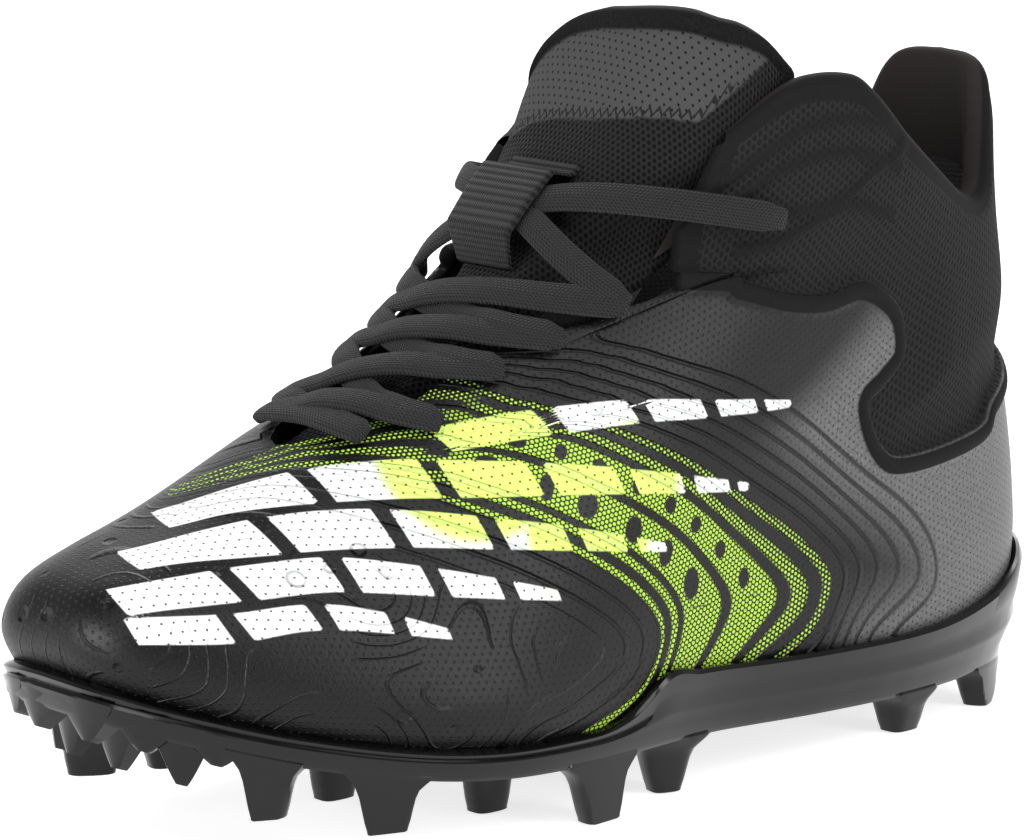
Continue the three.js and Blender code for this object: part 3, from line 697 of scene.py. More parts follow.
NEON = (0.35, 0.57, 0.045)
BRIGHT_NEON = (0.58, 0.78, 0.15)
WHITE = (0.74, 0.755, 0.75)
LINING_BLACK = (0.013, 0.0095, 0.0095)
DOT_PITCH = 1.15
PIN_PITCH, WHITE_PIN_PITCH = 1.75, 2.3
CUFF_MESH_PITCH = 1.6
DROP_PITCH = 8.5


def upper_material():
    n = Nodes("upper_shell")
    flat = n.flat()
    flow, along, span, neon, vamp, side = n.attributes("flow", "along", "span", "neon", "vamp", "side")
    white, cuff, edge, shade = n.attributes("white", "cuff", "edge", "shade")
    bright, wave, lining = n.attributes("bright", "wave", "lining")
    on_white, on_cuff = n.step(white, -0.25, 0.25), n.step(cuff, 1.2, 1.8)
    # Neon stripes printed as a hexagonal halftone, with rows of holes in the middle of the field.
    bands = []
    for low, high in PRINT_BANDS:
        half = (high - low) / 2
        bands.append(n.fall(abs(flow - (low + high) / 2), half - 0.008, half + 0.008))
    stripes = n.most(*bands)
    holes = []
    for at, pitch, phase, long, wide in PRINT_HOLES:
        x = (n.math("FRACT", along / pitch + phase) - 0.5) * (pitch / long)
        y = (flow - at) * span * (1 / wide)
        holes.append(n.fall(n.math("SQRT", x * x + y * y), 0.85, 1.05))
    middle = n.step(along, 62.0, 72.0) * n.step(along, 200.0, 190.0)
    thin = n.step(n.fold(flow * 5.5), 0.2, 0.3)
    share = n.step(vamp, 0.35, 0.65)
    inked = stripes * (1 - n.most(*holes) * middle) * (1 - share) + thin * share
    reach = 0.44 - vamp * 0.09 - n.step(flow, 0.05, 0.3, 0.1, 0.0)
    neon_ink = inked * n.step(neon, -0.3, 0.3) * n.fall(n.cells(flat, DOT_PITCH) - reach, -0.09, 0.07)
    pin = n.fall(n.cells(flat, PIN_PITCH), 0.16, 0.34)
    shifted = n.vector("ADD", flat, (0.4, 0.3, 0.0))
    white_pin = n.fall(n.cells(shifted, WHITE_PIN_PITCH), 0.16, 0.33)
    grain = n.noise(n.place(), 1.4, 3.0)
    # Nested ribs, contour lines and drops pressed into the shell.
    past = flow - 1.0
    outside = n.step(flow, -1.04, -1.0) * n.step(flow, 0.0, -0.02)
    in_field = n.step(flow, 0.0, 0.02) * n.step(flow, 1.0, 0.98)
    near = n.step(past, 0.0, 0.02) * n.step(past, 0.55, 0.3)
    groove = n.fall(n.fold(flow * float(RIBS)), 0.02, 0.2) * outside + in_field * (1 - stripes)
    groove = groove + n.fall(n.fold(past * (PAST_SCALE / TOE_RIB_PITCH)), 0.02, 0.16) * near
    groove = groove * side * n.step(span, 8.0, 18.0)
    line = n.fall(n.fold(n.noise(flat, 0.028, 0.5) * 15.0), 0.0, 0.085)
    line = line * n.step(past, 0.5, 0.7) * n.step(n.noise(flat, 0.05, 0.0), 0.42, 0.5)
    cell = {"Vector": flat, "Scale": 1 / DROP_PITCH, "Randomness": 0.8}
    away = n.node("TexVoronoi", cell, "Distance")
    radius = n.split(away.other("Color"))[0] * 0.36 - 0.06
    wet = n.step(past, 0.25, 0.45)
    rims = n.fall(abs(away - radius), 0.02, 0.06) * wet * n.step(radius, 0.04, 0.08)
    drops = n.fall(away - radius, -0.09, 0.02) * wet
    # Colours, with painted shade in the pressed marks.
    tone = n.step(grain, 0.3, 0.7)
    # Painted shade: the grooves, contour lines and rims round the drops are darkened in the colour, strongly on
    # the black shell and a little on the white blocks.
    pressed_shade = n.most(groove, line, rims * 0.8)
    base = n.mix(shade, n.mix(tone, grey(5), grey(12)), n.mix(tone, grey(74), grey(94)))
    base = n.mix(pressed_shade * 0.8, base, grey(6))
    base = n.mix(pin * (shade * 0.4 + 0.3), base, grey(8))
    base = n.mix(neon_ink, base, NEON)
    paper = n.mix(white_pin * 0.9, n.mix(bright, WHITE, BRIGHT_NEON), grey(24))
    base = n.mix(on_white, base, n.mix(pressed_shade * 0.2, paper, grey(110)))
    # The cuff is an open mesh textile with a plain binding along the collar.
    knit = n.step(n.cells(n.vector("MULTIPLY", flat, (1.0, 0.75, 1.0)), CUFF_MESH_PITCH), 0.2, 0.7)
    plain = n.most(n.fall(edge, 4.6, 5.4), wave * 0.9)
    cloth = n.mix(plain, n.mix(knit, grey(3), grey(27)), grey(7))
    base = n.mix(on_cuff, base, n.mix(lining, cloth, LINING_BLACK))
    # The piping along the cuff's edge is coloured near black: partly the piping's own black, partly painted
    # shade of the dark seam between shell and cuff.
    piping_and_seam_shade = n.fall(abs(cuff + 0.7), 1.7, 2.2)
    base = n.mix(piping_and_seam_shade, base, grey(5))
    # Roughness and relief, in millimetres.
    rough = grain * 0.16 + 0.34 + on_white * 0.12
    rough = n.math("ADD", rough, n.most(on_cuff, piping_and_seam_shade) * 0.45, clamp=True)
    relief = n.most(pin, white_pin * on_white) * -0.16 + groove * -0.55 + line * -0.3 + drops * 1.3
    relief = relief * (1 - n.step(cuff, -3.5, -2.5)) + neon_ink * 0.1 + grain * 0.07
    relief = relief + knit * on_cuff * (1 - plain) * (1 - lining) * 0.4
    return n.finish(base, rough, relief, specular=0.26)


def rubber_material():
    n = Nodes("outsole_gloss")
    place = n.place()
    color = n.mix(n.step(n.noise(place, 0.7, 4.0, 0.6), 0.4, 0.75), grey(5), grey(9))
    rough = n.step(n.noise(place, 0.12, 2.0), 0.3, 0.7, 0.14, 0.26)
    relief = n.noise(place, 0.07, 1.0)
    return n.finish(color, rough, relief, 0.2, specular=0.27, coat=0.15, coat_roughness=0.08)


def knitted(n, low, high, pitch):
    """Fuzz, colour and relief of a knit."""
    knit = n.step(n.cells(n.flat(), pitch), pitch * 0.14, pitch * 0.46)
    fuzz = n.noise(n.place(), 2.2, 3.0)
    return fuzz, n.mix(knit, grey(low), grey(high)), knit + fuzz * 0.35


def insole_material():
    n = Nodes("insole_cloth")
    _, color, relief = knitted(n, 20, 40, 1.3)
    return n.finish(color, 0.85, relief, 0.5, sheen=0.1, sheen_roughness=0.4, specular=0.12)


def tongue_material():
    """Mesh, with a rolled binding, a patch and the zigzag stitch under the patch."""
    n = Nodes("tongue_mesh")
    fuzz, color, relief = knitted(n, 3, 32, 1.5)
    plain, binding, patch, lower = n.attributes("plain", "binding", "patch", "lower")
    place = n.flat()
    color = n.mix(plain, color, n.mix(n.step(n.cells(place, 2.1), 0.2, 0.42), grey(14), grey(60)))
    color = n.mix(binding, color, n.mix(n.step(fuzz, 0.3, 0.7), grey(12), grey(24)))
    zigzag = n.math("PINGPONG", n.split(place)[0] * 0.9, 1.0) - 0.5
    stitch = n.fall(abs(patch - 1.6 - zigzag * 2.0), 0.25, 0.6) * lower
    color = n.mix(stitch, color, grey(30))
    relief = relief * (1 - n.most(plain, binding) * 0.9) + stitch * 0.6
    return n.finish(color, 0.85, relief, 0.3, sheen=0.05, sheen_roughness=0.4, specular=0.12)


def lace_material():
    """A flat woven band; its threads lean towards the middle."""
    n = Nodes("lace_weave")
    across, run, _ = n.split(n.flat())
    lean = n.math("SINE", (run + abs(across) * 0.9) * 7.0)
    weave = lean * 0.5 + n.math("SINE", across * 9.0) * 0.5
    fuzz = n.noise(n.place(), 2.5, 3.0)
    color = n.mix(fuzz * 0.3, n.mix(n.step(weave, -0.8, 0.8), grey(21), grey(45)), grey(53))
    return n.finish(color, 0.82, weave + fuzz, 0.22, sheen=0.06, sheen_roughness=0.4, specular=0.15)


def webbing_material():
    """Ribs across the strap."""
    n = Nodes("loop_webbing")
    across, run, _ = n.split(n.flat())
    weave = n.math("SINE", run * 5.2) + n.math("SINE", across * 9.0) * 0.3
    fuzz = n.noise(n.place(), 2.5, 3.0)
    color = n.mix(fuzz * 0.3, n.mix(n.step(weave, -1.0, 1.0), grey(18), grey(44)), grey(36))
    return n.finish(color, 0.7, weave + fuzz, 0.3, sheen=0.06, sheen_roughness=0.4, specular=0.18)


def lining_material():
    n = Nodes("upper_lining_cloth")
    fuzz = n.noise(n.place(), 1.6, 3.0)
    color = n.mix(n.step(fuzz, 0.3, 0.7), grey(26), grey(38))
    relief = fuzz + n.cells(n.flat(), 1.2)
    return n.finish(color, 0.9, relief, 0.3, sheen=0.08, sheen_roughness=0.5, specular=0.15)


# Upper
def in_cut(point):
    """Whether points of the form lie in the slot over the tongue."""
    x, share, z = point[..., 0], 0.5 - point[..., 1] / LENGTH, point[..., 2]
    x = x - float(SHIFT(5)) * BALL_WIDTH * smooth(share, 0.3, 0.8)
    hit = np.zeros(x.shape, bool)
    for rows, low in ((THROAT, 0.3), (CUFF_FRONT, 0.71)):
        at = np.array(rows, float).T
        outer, inner = [np.interp(share, at[0], at[side]) * BALL_WIDTH for side in (1, 2)]
        here = (share > at[0][0]) & (share < at[0][-1]) & (z > SEAT + low * HEEL_HEIGHT)
        hit |= here & (x < outer) & (x > -inner)
    return hit


def column_angles():
    """Angles that share out the way round the shoe, closer on the side with the print."""
    fine = np.linspace(-180, 180, 1441)
    steps = np.diff(run_along(form_point(3.0, fine)))
    steps *= np.where((fine[1:] > 40) | (fine[1:] < -165), 1.7, 1.0)
    run = np.concatenate([[0], np.cumsum(steps)])
    return np.interp(np.linspace(0, run[-1], COLUMNS + 1), run, fine)


def slot_edges(shares):
    """For each row, the last angle before the slot on the inner and on the outer side."""
    angles = np.linspace(90, 180, 361)
    ends = []
    for side in (-1, 1):
        a = side * angles[None, :]
        level = lerp(BOTTOM_LEVEL, collar_at(a), shares[:, None])
        hit = in_cut(form_point(level, a))
        first = np.where(hit.any(1), hit.argmax(1), len(angles) - 1)
        ends.append(angles[first])
    return ends


def blurred(grid, axis):
    """The grid, each value averaged with its two neighbours along an axis."""
    padded = np.pad(grid, [(1, 1) if k == axis else (0, 0) for k in range(2)], mode="edge")
    low, high = [np.take(padded, np.arange(grid.shape[axis]) + k, axis) for k in (0, 2)]
    return (low + 2 * grid + high) / 4


def white_blocks(p):
    """Distance into the nearest white block, negative outside."""
    white = np.full(len(p), -9.0)
    for line, blocks in BLOCK_ROWS:
        (x0, y0), (x1, y1) = line[:2]
        line = [(2 * x0 - x1, 2 * y0 - y1)] + line
        path = on_form(flowing(line))
        lead = run_along(path)[12]
        across, run = to_line(p, path)
        up, down = [far_from(p, [(x, y + rise) for x, y in line]) for rise in (0.5, -0.5)]
        slanted = run - lead + 0.55 * np.clip((down - up) / 2, -6, 6)
        for start, end, half0, half1 in blocks:
            half = lerp(half0, half1, np.clip((slanted - start) / (end - start), 0, 1))
            into = np.minimum(half - across, np.minimum(slanted - start, end - slanted))
            white = np.maximum(white, into)
    return white


def ridge(run, pitch=1.0):
    """Ridges on every whole number of pitches, from 1 on the ridge to 0."""
    beat = np.abs((run / pitch + 0.5) % 1 - 0.5)
    return 1 - smooth(beat, 0.02, 0.36)


def drawn(p, lines, half):
    """Rounded strokes along lines on the form, from 1 on the line to 0."""
    return np.max([np.clip(1 - (far_from(p, line) / half) ** 2, 0, 1) for line in lines], axis=0)


def upper_fields(points, angle, level):
    """Everything that the relief and the colours need, at points of the form."""
    p, a, lv = points.reshape(-1, 3), angle.ravel(), level.ravel()
    f = np.where(a < -90, a + 360, a)
    # Cuff edge on both sides: the inner side mirrors the outer.
    over = inside(np.abs(a), lv, np.concatenate([flowing(CUFF_EDGE), [(0, 12), (180, 12)]]))
    far_in, far_out = [far_from(p, np.array(CUFF_EDGE) * [side, 1]) for side in (-1, 1)]
    cuff = np.where(over, 1, -1) * np.where(a < 0, far_in, far_out)
    # Neon field; flow runs from 0 at its outer edge to 1 at its inner edge, and on past both.
    outer, back, last_rib = flowing(NEON_EDGE), flowing(NEON_BACK), flowing(GROOVE_EDGE)
    is_neon = inside(f, lv, np.concatenate([outer, back]))
    from_outer, along = to_line(p, on_form(outer))
    from_back, _ = to_line(p, on_form(back))
    from_rib, _ = to_line(form_point(lv, np.abs(a)), on_form(last_rib))
    quarter = [(50, 0.2), (-10, 0.2), (-10, 7.6), (150, 7.6)]
    behind = inside(np.abs(a), lv, np.concatenate([last_rib, quarter]))
    toewards = inside(f, lv, np.concatenate([outer, [(84, -1), (260, -1), (260, 4.3)]]))
    ahead = np.where(behind, -1 - from_rib / PAST_SCALE, -from_outer / (from_outer + from_rib + 1e-6))
    past = 1 + from_back / PAST_SCALE
    within = np.where(is_neon, from_outer / (from_outer + from_back + 1e-6), past)
    flow = np.where(toewards | is_neon, within, ahead).reshape(angle.shape)
    for _ in range(30):
        flow = blurred(blurred(flow, 0), 1)
    flow = flow.ravel()
    span = np.where(is_neon, from_outer + from_back, np.where(toewards, 40, from_outer + from_rib))
    span = np.where(behind, 40, span)
    side = smooth(f, 212, 195) * smooth(f, 20, 40)
    bright = np.zeros(len(p))
    for spot_angle, spot_level, radius in BRIGHT_SPOTS:
        away = np.linalg.norm(p - form_point(spot_level, spot_angle), axis=1)
        bright = np.maximum(bright, 1 - smooth(away, radius - 2, radius + 2))
    # Grey quarter, strongest at the cuff's edge and round the heel.
    shade = smooth(np.where(behind, 1, -1) * from_rib, -20, 4)
    shade *= smooth(np.abs(a) + 5 * np.maximum(lv - 5, 0), 94, 80)
    # Nested ribs and the channels between the printed stripes.
    groove = ridge(flow * RIBS) * (flow < 0) * smooth(flow, -1.03, -1.0)
    for low, high in PRINT_GAPS:
        groove += np.clip(1 - ((flow - (low + high) / 2) / (high - low)) ** 2, 0, 1) * is_neon
    groove += ridge(from_back, TOE_RIB_PITCH) * (flow > 1) * smooth(from_back, 16, 9)
    groove = np.maximum(groove * side * smooth(span, 8, 18), drawn(p, SHORT_GROOVES, 1.3))
    fields = {
        "cuff": cuff, "flow": flow, "span": span, "along": along, "side": side, "bright": bright,
        "neon": np.where(is_neon, 1, -1) * np.minimum(from_outer, from_back),
        "vamp": 1 - smooth(along, 62, 84), "white": white_blocks(p),
        "shade": shade * (cuff < 3), "groove": groove * (cuff < -3),
        "wave": drawn(p, CUFF_WAVES, 1.7) * (cuff > 4),
    }
    return {name: values.reshape(angle.shape) for name, values in fields.items()}


def upper_offset(cuff, groove, wave, collar_gap):
    """Relief over the form in millimetres."""
    bead = PIPING * np.clip(1 - ((cuff + 0.6) / 2.4) ** 2, 0, 1) ** 0.6
    swell = -SHELL_STEP + (SHELL_STEP + CUFF_SWELL) * smooth(cuff, 3, 22) + 0.9 * wave
    swell = lerp(0.4 * CUFF_SWELL, swell, smooth(collar_gap, 1.0, 7.0))
    return lerp(np.maximum(-0.9 * groove, bead), swell, smooth(cuff, 1.6, 2.6))


def flat_coordinates(angle, level):
    """Millimetres on the unrolled upper, from the heel round the outer side and over the vamp."""
    rows, columns, top, end = 22, 54, 10, 280
    grid = np.meshgrid(np.linspace(0, top, rows), wrap(np.linspace(0, end, columns)), indexing="ij")
    coarse = form_point(*grid)
    guess = np.stack(np.meshgrid(run_along(coarse[8]), run_along(coarse[:, 20])), -1)
    flat = flatten_grid(coarse, guess)
    f = np.where(angle < -80, angle + 360, np.abs(angle))
    x = np.clip(f / end * (columns - 1), 0, columns - 1.001)
    y = np.clip(level / top * (rows - 1), 0, rows - 1.001)
    i, j = x.astype(int), y.astype(int)
    s, t = (x - i)[..., None], (y - j)[..., None]
    low, high = [lerp(flat[k, i], flat[k, i + 1], s) for k in (j, j + 1)]
    return lerp(low, high, t)


def slot_rim(rim, inward, normal, half):
    """The wall's edge at the slot: half a turn round from the rim, then back under the skin."""
    back = unit(rim - inward)
    strip = [rim]
    for k in range(1, RIM_COLUMNS - 1):
        phi = math.pi * k / (RIM_COLUMNS - 2)
        strip.append(rim + normal * half * (math.cos(phi) - 1) + back * half * 0.5 * math.sin(phi))
    strip.append(strip[-1] - back * 7 + normal * 0.3)
    return np.stack(strip, 1)


def build_upper():
    base = column_angles()
    shares = np.linspace(0, 1, ROWS)
    edges = slot_edges(shares)
    a = np.broadcast_to(base, (ROWS, COLUMNS + 1)).copy()
    for side, edge in zip((-1, 1), edges):
        front = side * base > 90
        a[:, front] = side * (90 + (np.abs(base[front]) - 90) * (edge[:, None] - 90) / 90)
    level = lerp(BOTTOM_LEVEL, collar_at(a) - 2.2 / PER_LEVEL, shares[:, None])
    points, normals = form_point(level, a), normal_at(level, a)
    gap = (collar_at(a) - level) * PER_LEVEL
    fields = upper_fields(points, a, level)
    offset = upper_offset(fields["cuff"], fields.pop("groove"), fields["wave"], gap)
    skin = points + normals * offset[..., None]
    run = run_along(points, 1)
    fields["edge"] = np.minimum(gap, np.minimum(run, run[:, -1:] - run))
    fields["lining"] = np.zeros(a.shape)
    flat = flat_coordinates(a, level)
    # Over the collar and down inside.
    turned = [skin_point(collar_at(a[-1]) - drop / PER_LEVEL, a[-1], depth) for drop, depth in COLLAR_ROLL]
    spread = [flat[-1] + [0, 24 - drop if depth < -2.75 else drop] for drop, depth in COLLAR_ROLL]
    sheet = {name: np.concatenate([v, np.repeat(v[-1:], len(turned), 0)]) for name, v in fields.items()}
    sheet["lining"][ROWS:] = [[depth < -1.2] for _, depth in COLLAR_ROLL]
    sheet["place"] = np.concatenate([skin, turned])
    sheet["flat"] = np.concatenate([flat, spread])
    sheets, faces = [sheet], [grid_faces(ROWS + len(turned), COLUMNS + 1)]
    # Round the wall at the slot's two edges.
    count = sheet["lining"].size
    open_row = (edges[0] < 179.5) | (edges[1] < 179.5)
    keep = np.repeat((open_row[1:] | open_row[:-1])[:, None], RIM_COLUMNS - 1, 1)
    for column, inward in ((0, 3), (-1, -4)):
        wall = np.where(fields["cuff"][:, column] > 2, CUFF_WALL, SHELL_WALL)
        half = (wall + np.maximum(offset[:, column], 0))[:, None] / 2
        rim = {name: np.repeat(values[:ROWS, [column]], RIM_COLUMNS, 1) for name, values in sheet.items()}
        for name in ("white", "neon"):
            rim[name][:, 1:] = np.minimum(rim[name][:, 1:], -2)
        rim["place"] = slot_rim(skin[:, column], skin[:, inward], normals[:, column], half)
        rim["flat"][..., 0] += np.arange(RIM_COLUMNS) * 1.2
        sheets.append(rim)
        faces.append(grid_faces(ROWS, RIM_COLUMNS, start=count, keep=keep))
        count += ROWS * RIM_COLUMNS
    whole = {}
    for name in sheet:
        whole[name] = np.concatenate([part[name].reshape(-1, *part[name].shape[2:]) for part in sheets])
    piece = make_object("upper_skin", whole.pop("place"), np.concatenate(faces), MATERIAL["upper"])
    for name, values in whole.items():
        add_attribute(piece, name, values)
    weld(piece)
    return piece


def build_lining():
    """The cuff's inside, seen through the collar."""
    rows, columns = 26, 161
    a = np.broadcast_to(np.linspace(-180, 180, columns), (rows, columns))
    level = lerp(0.42, collar_at(a) - 1.3, np.linspace(0, 1, rows)[:, None])
    cuff_line = curve_of([row for row in CUFF_EDGE[::-1] if row[0] in LINING_ANGLES])(np.abs(a))
    wall = lerp(SHELL_WALL, CUFF_WALL, smooth(level, cuff_line - 0.5, cuff_line + 0.6))
    hole = in_cut(form_point(level, a))
    keep = ~(hole[:-1, :-1] | hole[1:, :-1] | hole[:-1, 1:] | hole[1:, 1:])
    faces = grid_faces(rows, columns, keep=keep)[:, ::-1]
    piece = make_object("upper_lining", skin_point(level, a, -wall).reshape(-1, 3), faces, MATERIAL["lining"])
    add_attribute(piece, "flat", np.stack([a * 1.6, level * 15], -1).reshape(-1, 2))
    weld(piece)
    return piece


# Sole
def plate_edge():
    """The plate's widest outline in plan, and the way out at each of its points."""
    edge = skin_point(0.0, wrap(np.arange(720) * 0.5), GAP + PLATE_WALL + PLATE_STEP)[:, :2]
    ahead = unit(np.roll(edge, -1, 0) - np.roll(edge, 1, 0))
    out = np.stack([ahead[:, 1], -ahead[:, 0]], 1)
    return edge, out * np.sign((out * (edge - [-5.0, 0.0])).sum(1))[:, None]


def build_studs():
    """Blades that flare into the plate; their first ring is inside it."""
    flare = curve_of(STUD_FLARE)
    turn = (np.arange(28) + 0.5) * 2 * np.pi / 28
    edge, out = plate_edge()
    studs = []
    for u, v, root_long, root_wide, tip_long, tip_wide, twist, tip_z in STUDS:
        cos, sin = math.cos(math.radians(twist)), math.sin(math.radians(twist))
        rings = []
        for down, tuck in STUD_RINGS:
            share = flare(down)
            x = lerp(root_wide, tip_wide, share) / 2 * tuck * soft(np.sin(turn), 0.6)
            y = lerp(root_long, tip_long, share) / 2 * tuck * soft(np.cos(turn), 0.6)
            ring = np.stack([v + x * cos - y * sin, LENGTH / 2 - u + x * sin + y * cos], 1)
            # Keep inside the plate's edge.
            which = np.linalg.norm(ring[:, None] - edge, axis=2).argmin(1)
            past = ((ring - edge[which]) * out[which]).sum(1)
            ring -= out[which] * np.maximum(past, 0)[:, None]
            bed = bed_at(LENGTH / 2 - ring[:, 1])
            z = lerp(bed - PLATE, tip_z, max(down, 0))
            if down < 0:
                ring += (ring.mean(0) - ring) * 0.12
                z = bed - PLATE + 2
            rings.append(np.column_stack([ring, z]))
        studs.append(closed_loft(rings))
    return studs


def build_teeth():
    """Pointed teeth under the toe, set out along the plate's edge."""
    teeth = []
    for angle, inset, half, fall in TEETH:
        base, after = skin_point(0.0, wrap([angle, angle + 3]), inset + GAP)
        ahead = unit((after - base) * [1, 1, 0])
        out = np.array([ahead[1], -ahead[0], 0])
        out = -out if out @ base < 0 else out
        rings = []
        for share in np.linspace(0, 1, 13):
            depth = lerp(0.3 * PLATE, PLATE + fall + 1.6, share)
            wide = half * (1 - share) ** 0.9 + 1.2 * share**0.5
            front, back = PLATE_WALL + lerp(0.9, -0.4, share), lerp(-5, -0.8, share)
            ring = []
            for side_at, out_at in TOOTH_SECTION:
                x, y, _ = base + ahead * side_at * wide + out * lerp(back, front, out_at)
                ring.append([x, y, float(bed_at(LENGTH / 2 - y)) - depth])
            rings.append(ring)
        teeth.append(closed_loft(rings))
    return teeth


def fans(faces):
    """Each face split into triangles from its first corner."""
    return [[face[0], face[i], face[i + 1]] for face in faces for i in range(1, len(face) - 1)]


def build_outsole():
    count = 640
    angles = wrap(np.arange(count) * 360 / count)
    side = [skin_point(np.maximum(at * plate_at(angles), 0), angles, offset) for at, offset in PLATE_PROFILE]
    for drop, offset in PLATE_BOTTOM:
        side.append(skin_point(0.0, angles, offset) - [0, 0, drop])
    parts = [closed_loft(side, mirror=True)] + build_studs() + build_teeth()
    points, faces = joined([(points, fans(faces)) for points, faces in parts])
    piece = make_object("outsole_moulding", points, faces, MATERIAL["rubber"])
    piece.data.set_sharp_from_angle(angle=math.radians(38))
    return piece


def build_insole():
    angles = wrap(np.arange(160) * 360 / 160)
    rings = []
    for at, inset in INSOLE_PROFILE:
        height = at * INSOLE
        ring = skin_point(0.03 + 0.08 * height, angles, -SHELL_WALL - 2 * GAP - inset)
        ring[:, 2] = bed_at(LENGTH / 2 - ring[:, 1]) + height
        rings.append(ring)
    points, faces = joined([closed_loft(rings, mirror=True)])
    piece = make_object("insole_sheet", points, faces, MATERIAL["insole"])
    add_attribute(piece, "flat", points[:, :2])
    return piece


# Tongue, lace and loop
def build_tongue():
    rows, across, rim_steps = ((180, 120, 6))
    column = [curve_of(TONGUE, c) for c in range(1, 6)]
    r, s = np.meshgrid(np.linspace(0, 1, rows), np.linspace(-1, 1, across), indexing="ij")
    outer = s < 0
    top = np.where(outer, curve_of(TONGUE_TOP, 1)(-s), curve_of(TONGUE_TOP, 2)(s))
    level = lerp(TONGUE_FOOT, top, r)
    angle = wrap(180 + s * np.where(outer, column[0](r), column[1](r)))
    # The face keeps its height to the top; the rim is rounded on its own.
    face = column[2](np.minimum(r, 0.94))
    edge = np.where(outer, column[3](r), column[4](r))
    bend = lerp(0.3, 0.7, smooth(r, 0.5, 0.75))
    offset = lerp(face, edge, smooth(np.abs(s), bend, bend + 0.3))
    form = form_point(level, angle)
    up, width = run_along(form), run_along(form, 1)
    width -= width[:, across // 2][:, None]
    from_top = up[-1] - up
    from_side = np.where(outer, width - width[:, :1], width[:, -1:] - width)
    rim = np.minimum(from_top, lerp(60, from_side, smooth(r, 0.62, 0.7)))
    binding = 1 - smooth(rim, 4.7, 5.2)
    patch = np.minimum(from_top - 4.9, 26.5 - from_top - 0.004 * (width + 6) ** 2)
    patch = np.minimum(patch, np.minimum(width + 48 - 0.63 * from_top, from_side - 5.1))
    plain = smooth(patch, -0.3, 0.3) * (1 - binding)
    lower = smooth(from_top, 12, 15) * (1 - binding)
    # Relief: a rolled binding, the patch a little sunk, the knit swelling between them.
    roll = np.clip(1 - ((rim - 2.4) / 2.4) ** 2, 0, 1) ** 0.5
    swell = np.where(rim < 4.8, 0.9 * roll - 0.3, 0.0) - 0.6 * np.exp(-(((rim - 5.0) / 0.7) ** 2))
    body = smooth(from_top, 26, 38) * smooth(np.abs(s), 0.95, 0.5) * smooth(r, 0.5, 0.7)
    swell += 0.9 * body - 0.35 * plain
    front = skin_point(level, angle, offset + swell)
    back = skin_point(level, angle, offset - TONGUE_PAD)
    second = rows * across
    points = [front.reshape(-1, 3), back.reshape(-1, 3)]
    faces = [grid_faces(rows, across), grid_faces(rows, across, start=second)[:, ::-1]]
    # Round the rim, in the order of the grid's border.
    walk = [(0, c) for c in range(across)] + [(k, across - 1) for k in range(1, rows)]
    walk += [(rows - 1, c) for c in range(across - 2, -1, -1)] + [(k, 0) for k in range(rows - 2, 0, -1)]
    at_row, at_column = np.array(walk).T
    index = at_row * across + at_column
    f_rim, b_rim = front[at_row, at_column], back[at_row, at_column]
    inward = front[np.clip(at_row, 3, rows - 4), np.clip(at_column, 3, across - 4)]
    outward = unit(f_rim - inward)
    for _ in range(12):
        outward = unit(outward + 0.5 * (np.roll(outward, 1, 0) + np.roll(outward, -1, 0)))
    rings = [index]
    for k in range(1, rim_steps):
        t = k / rim_steps
        points.append(lerp(f_rim, b_rim, t) + outward * 1.6 * math.sin(math.pi * t))
        rings.append(2 * second + (k - 1) * len(walk) + np.arange(len(walk)))
    rings.append(index + second)
    for lower_ring, upper_ring in zip(rings, rings[1:]):
        quad = [lower_ring, np.roll(lower_ring, -1), np.roll(upper_ring, -1), upper_ring]
        faces.append(np.stack(quad, 1)[:, ::-1])
    points, faces = joined([(np.concatenate(points), np.concatenate(faces))])
    piece = make_object("tongue_pad", points, faces, MATERIAL["tongue"])

    def spread(name, values, behind=None):
        """Gives the face's values to the back, or one value, and to the rim."""
        values = values.reshape(second, -1)
        other = values if behind is None else np.full_like(values, behind)
        whole = [values, other] + [values[index]] * (rim_steps - 1)
        add_attribute(piece, name, np.concatenate(whole).squeeze())

    spread("flat", np.stack([width, up], -1))
    spread("binding", binding)
    spread("plain", plain, 0)
    spread("patch", patch)
    spread("lower", lower, 0)
    return piece


def band_path(outer, inner, middle, height, t):
    """Centre of a lace band: level, angle and height over the form."""
    start, end = EYELETS[outer], (EYELETS[inner][0], 360 - EYELETS[inner][2])
    bow = 4 * t * (1 - t)
    level = lerp(start[0], end[0], t) + bow * (middle - (start[0] + end[0]) / 2)
    angle = wrap(lerp(start[1], end[1], t))
    low = LACE_THICK / 2 + 2 * GAP + lerp(start[3], EYELETS[inner][3], t)
    return level, angle, lerp(low, height, smooth(bow, 0.65, 1))


def band_mesh(row):
    """Rings of a lace band, whose two ends turn down into their punched holes."""
    steps, sides = ((70, 20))
    t = np.linspace(0, 1, steps)
    level, angle, height = band_path(*row, t)
    dip = smooth(np.minimum(t, 1 - t), 0.045, 0.0)
    centre = skin_point(level, angle, height - dip)
    ahead = unit(np.gradient(centre, axis=0))
    across = unit(np.cross(ahead, normal_at(level, angle)))
    up = np.cross(across, ahead)
    turn = (np.arange(sides) + 0.5) * 2 * np.pi / sides
    x = soft(np.cos(turn), 0.75) * (LACE_WIDTH / 2) * (1 - 0.3 * dip)[:, None]
    y = soft(np.sin(turn), 0.8) * (LACE_THICK / 2) * 0.95
    rings = centre[:, None] + across[:, None] * x[..., None] + up[:, None] * y[:, None]
    flat = np.stack(np.broadcast_arrays(x, run_along(centre)[:, None]), -1)
    return rings, flat.reshape(-1, 2)


def build_lace():
    bands = [band_mesh(row) for row in BANDS]
    points, faces = joined([closed_loft(rings) for rings, _ in bands])
    piece = make_object("lace_bands", points, faces, MATERIAL["lace"])
    add_attribute(piece, "flat", np.concatenate([flat for _, flat in bands]))
    return piece


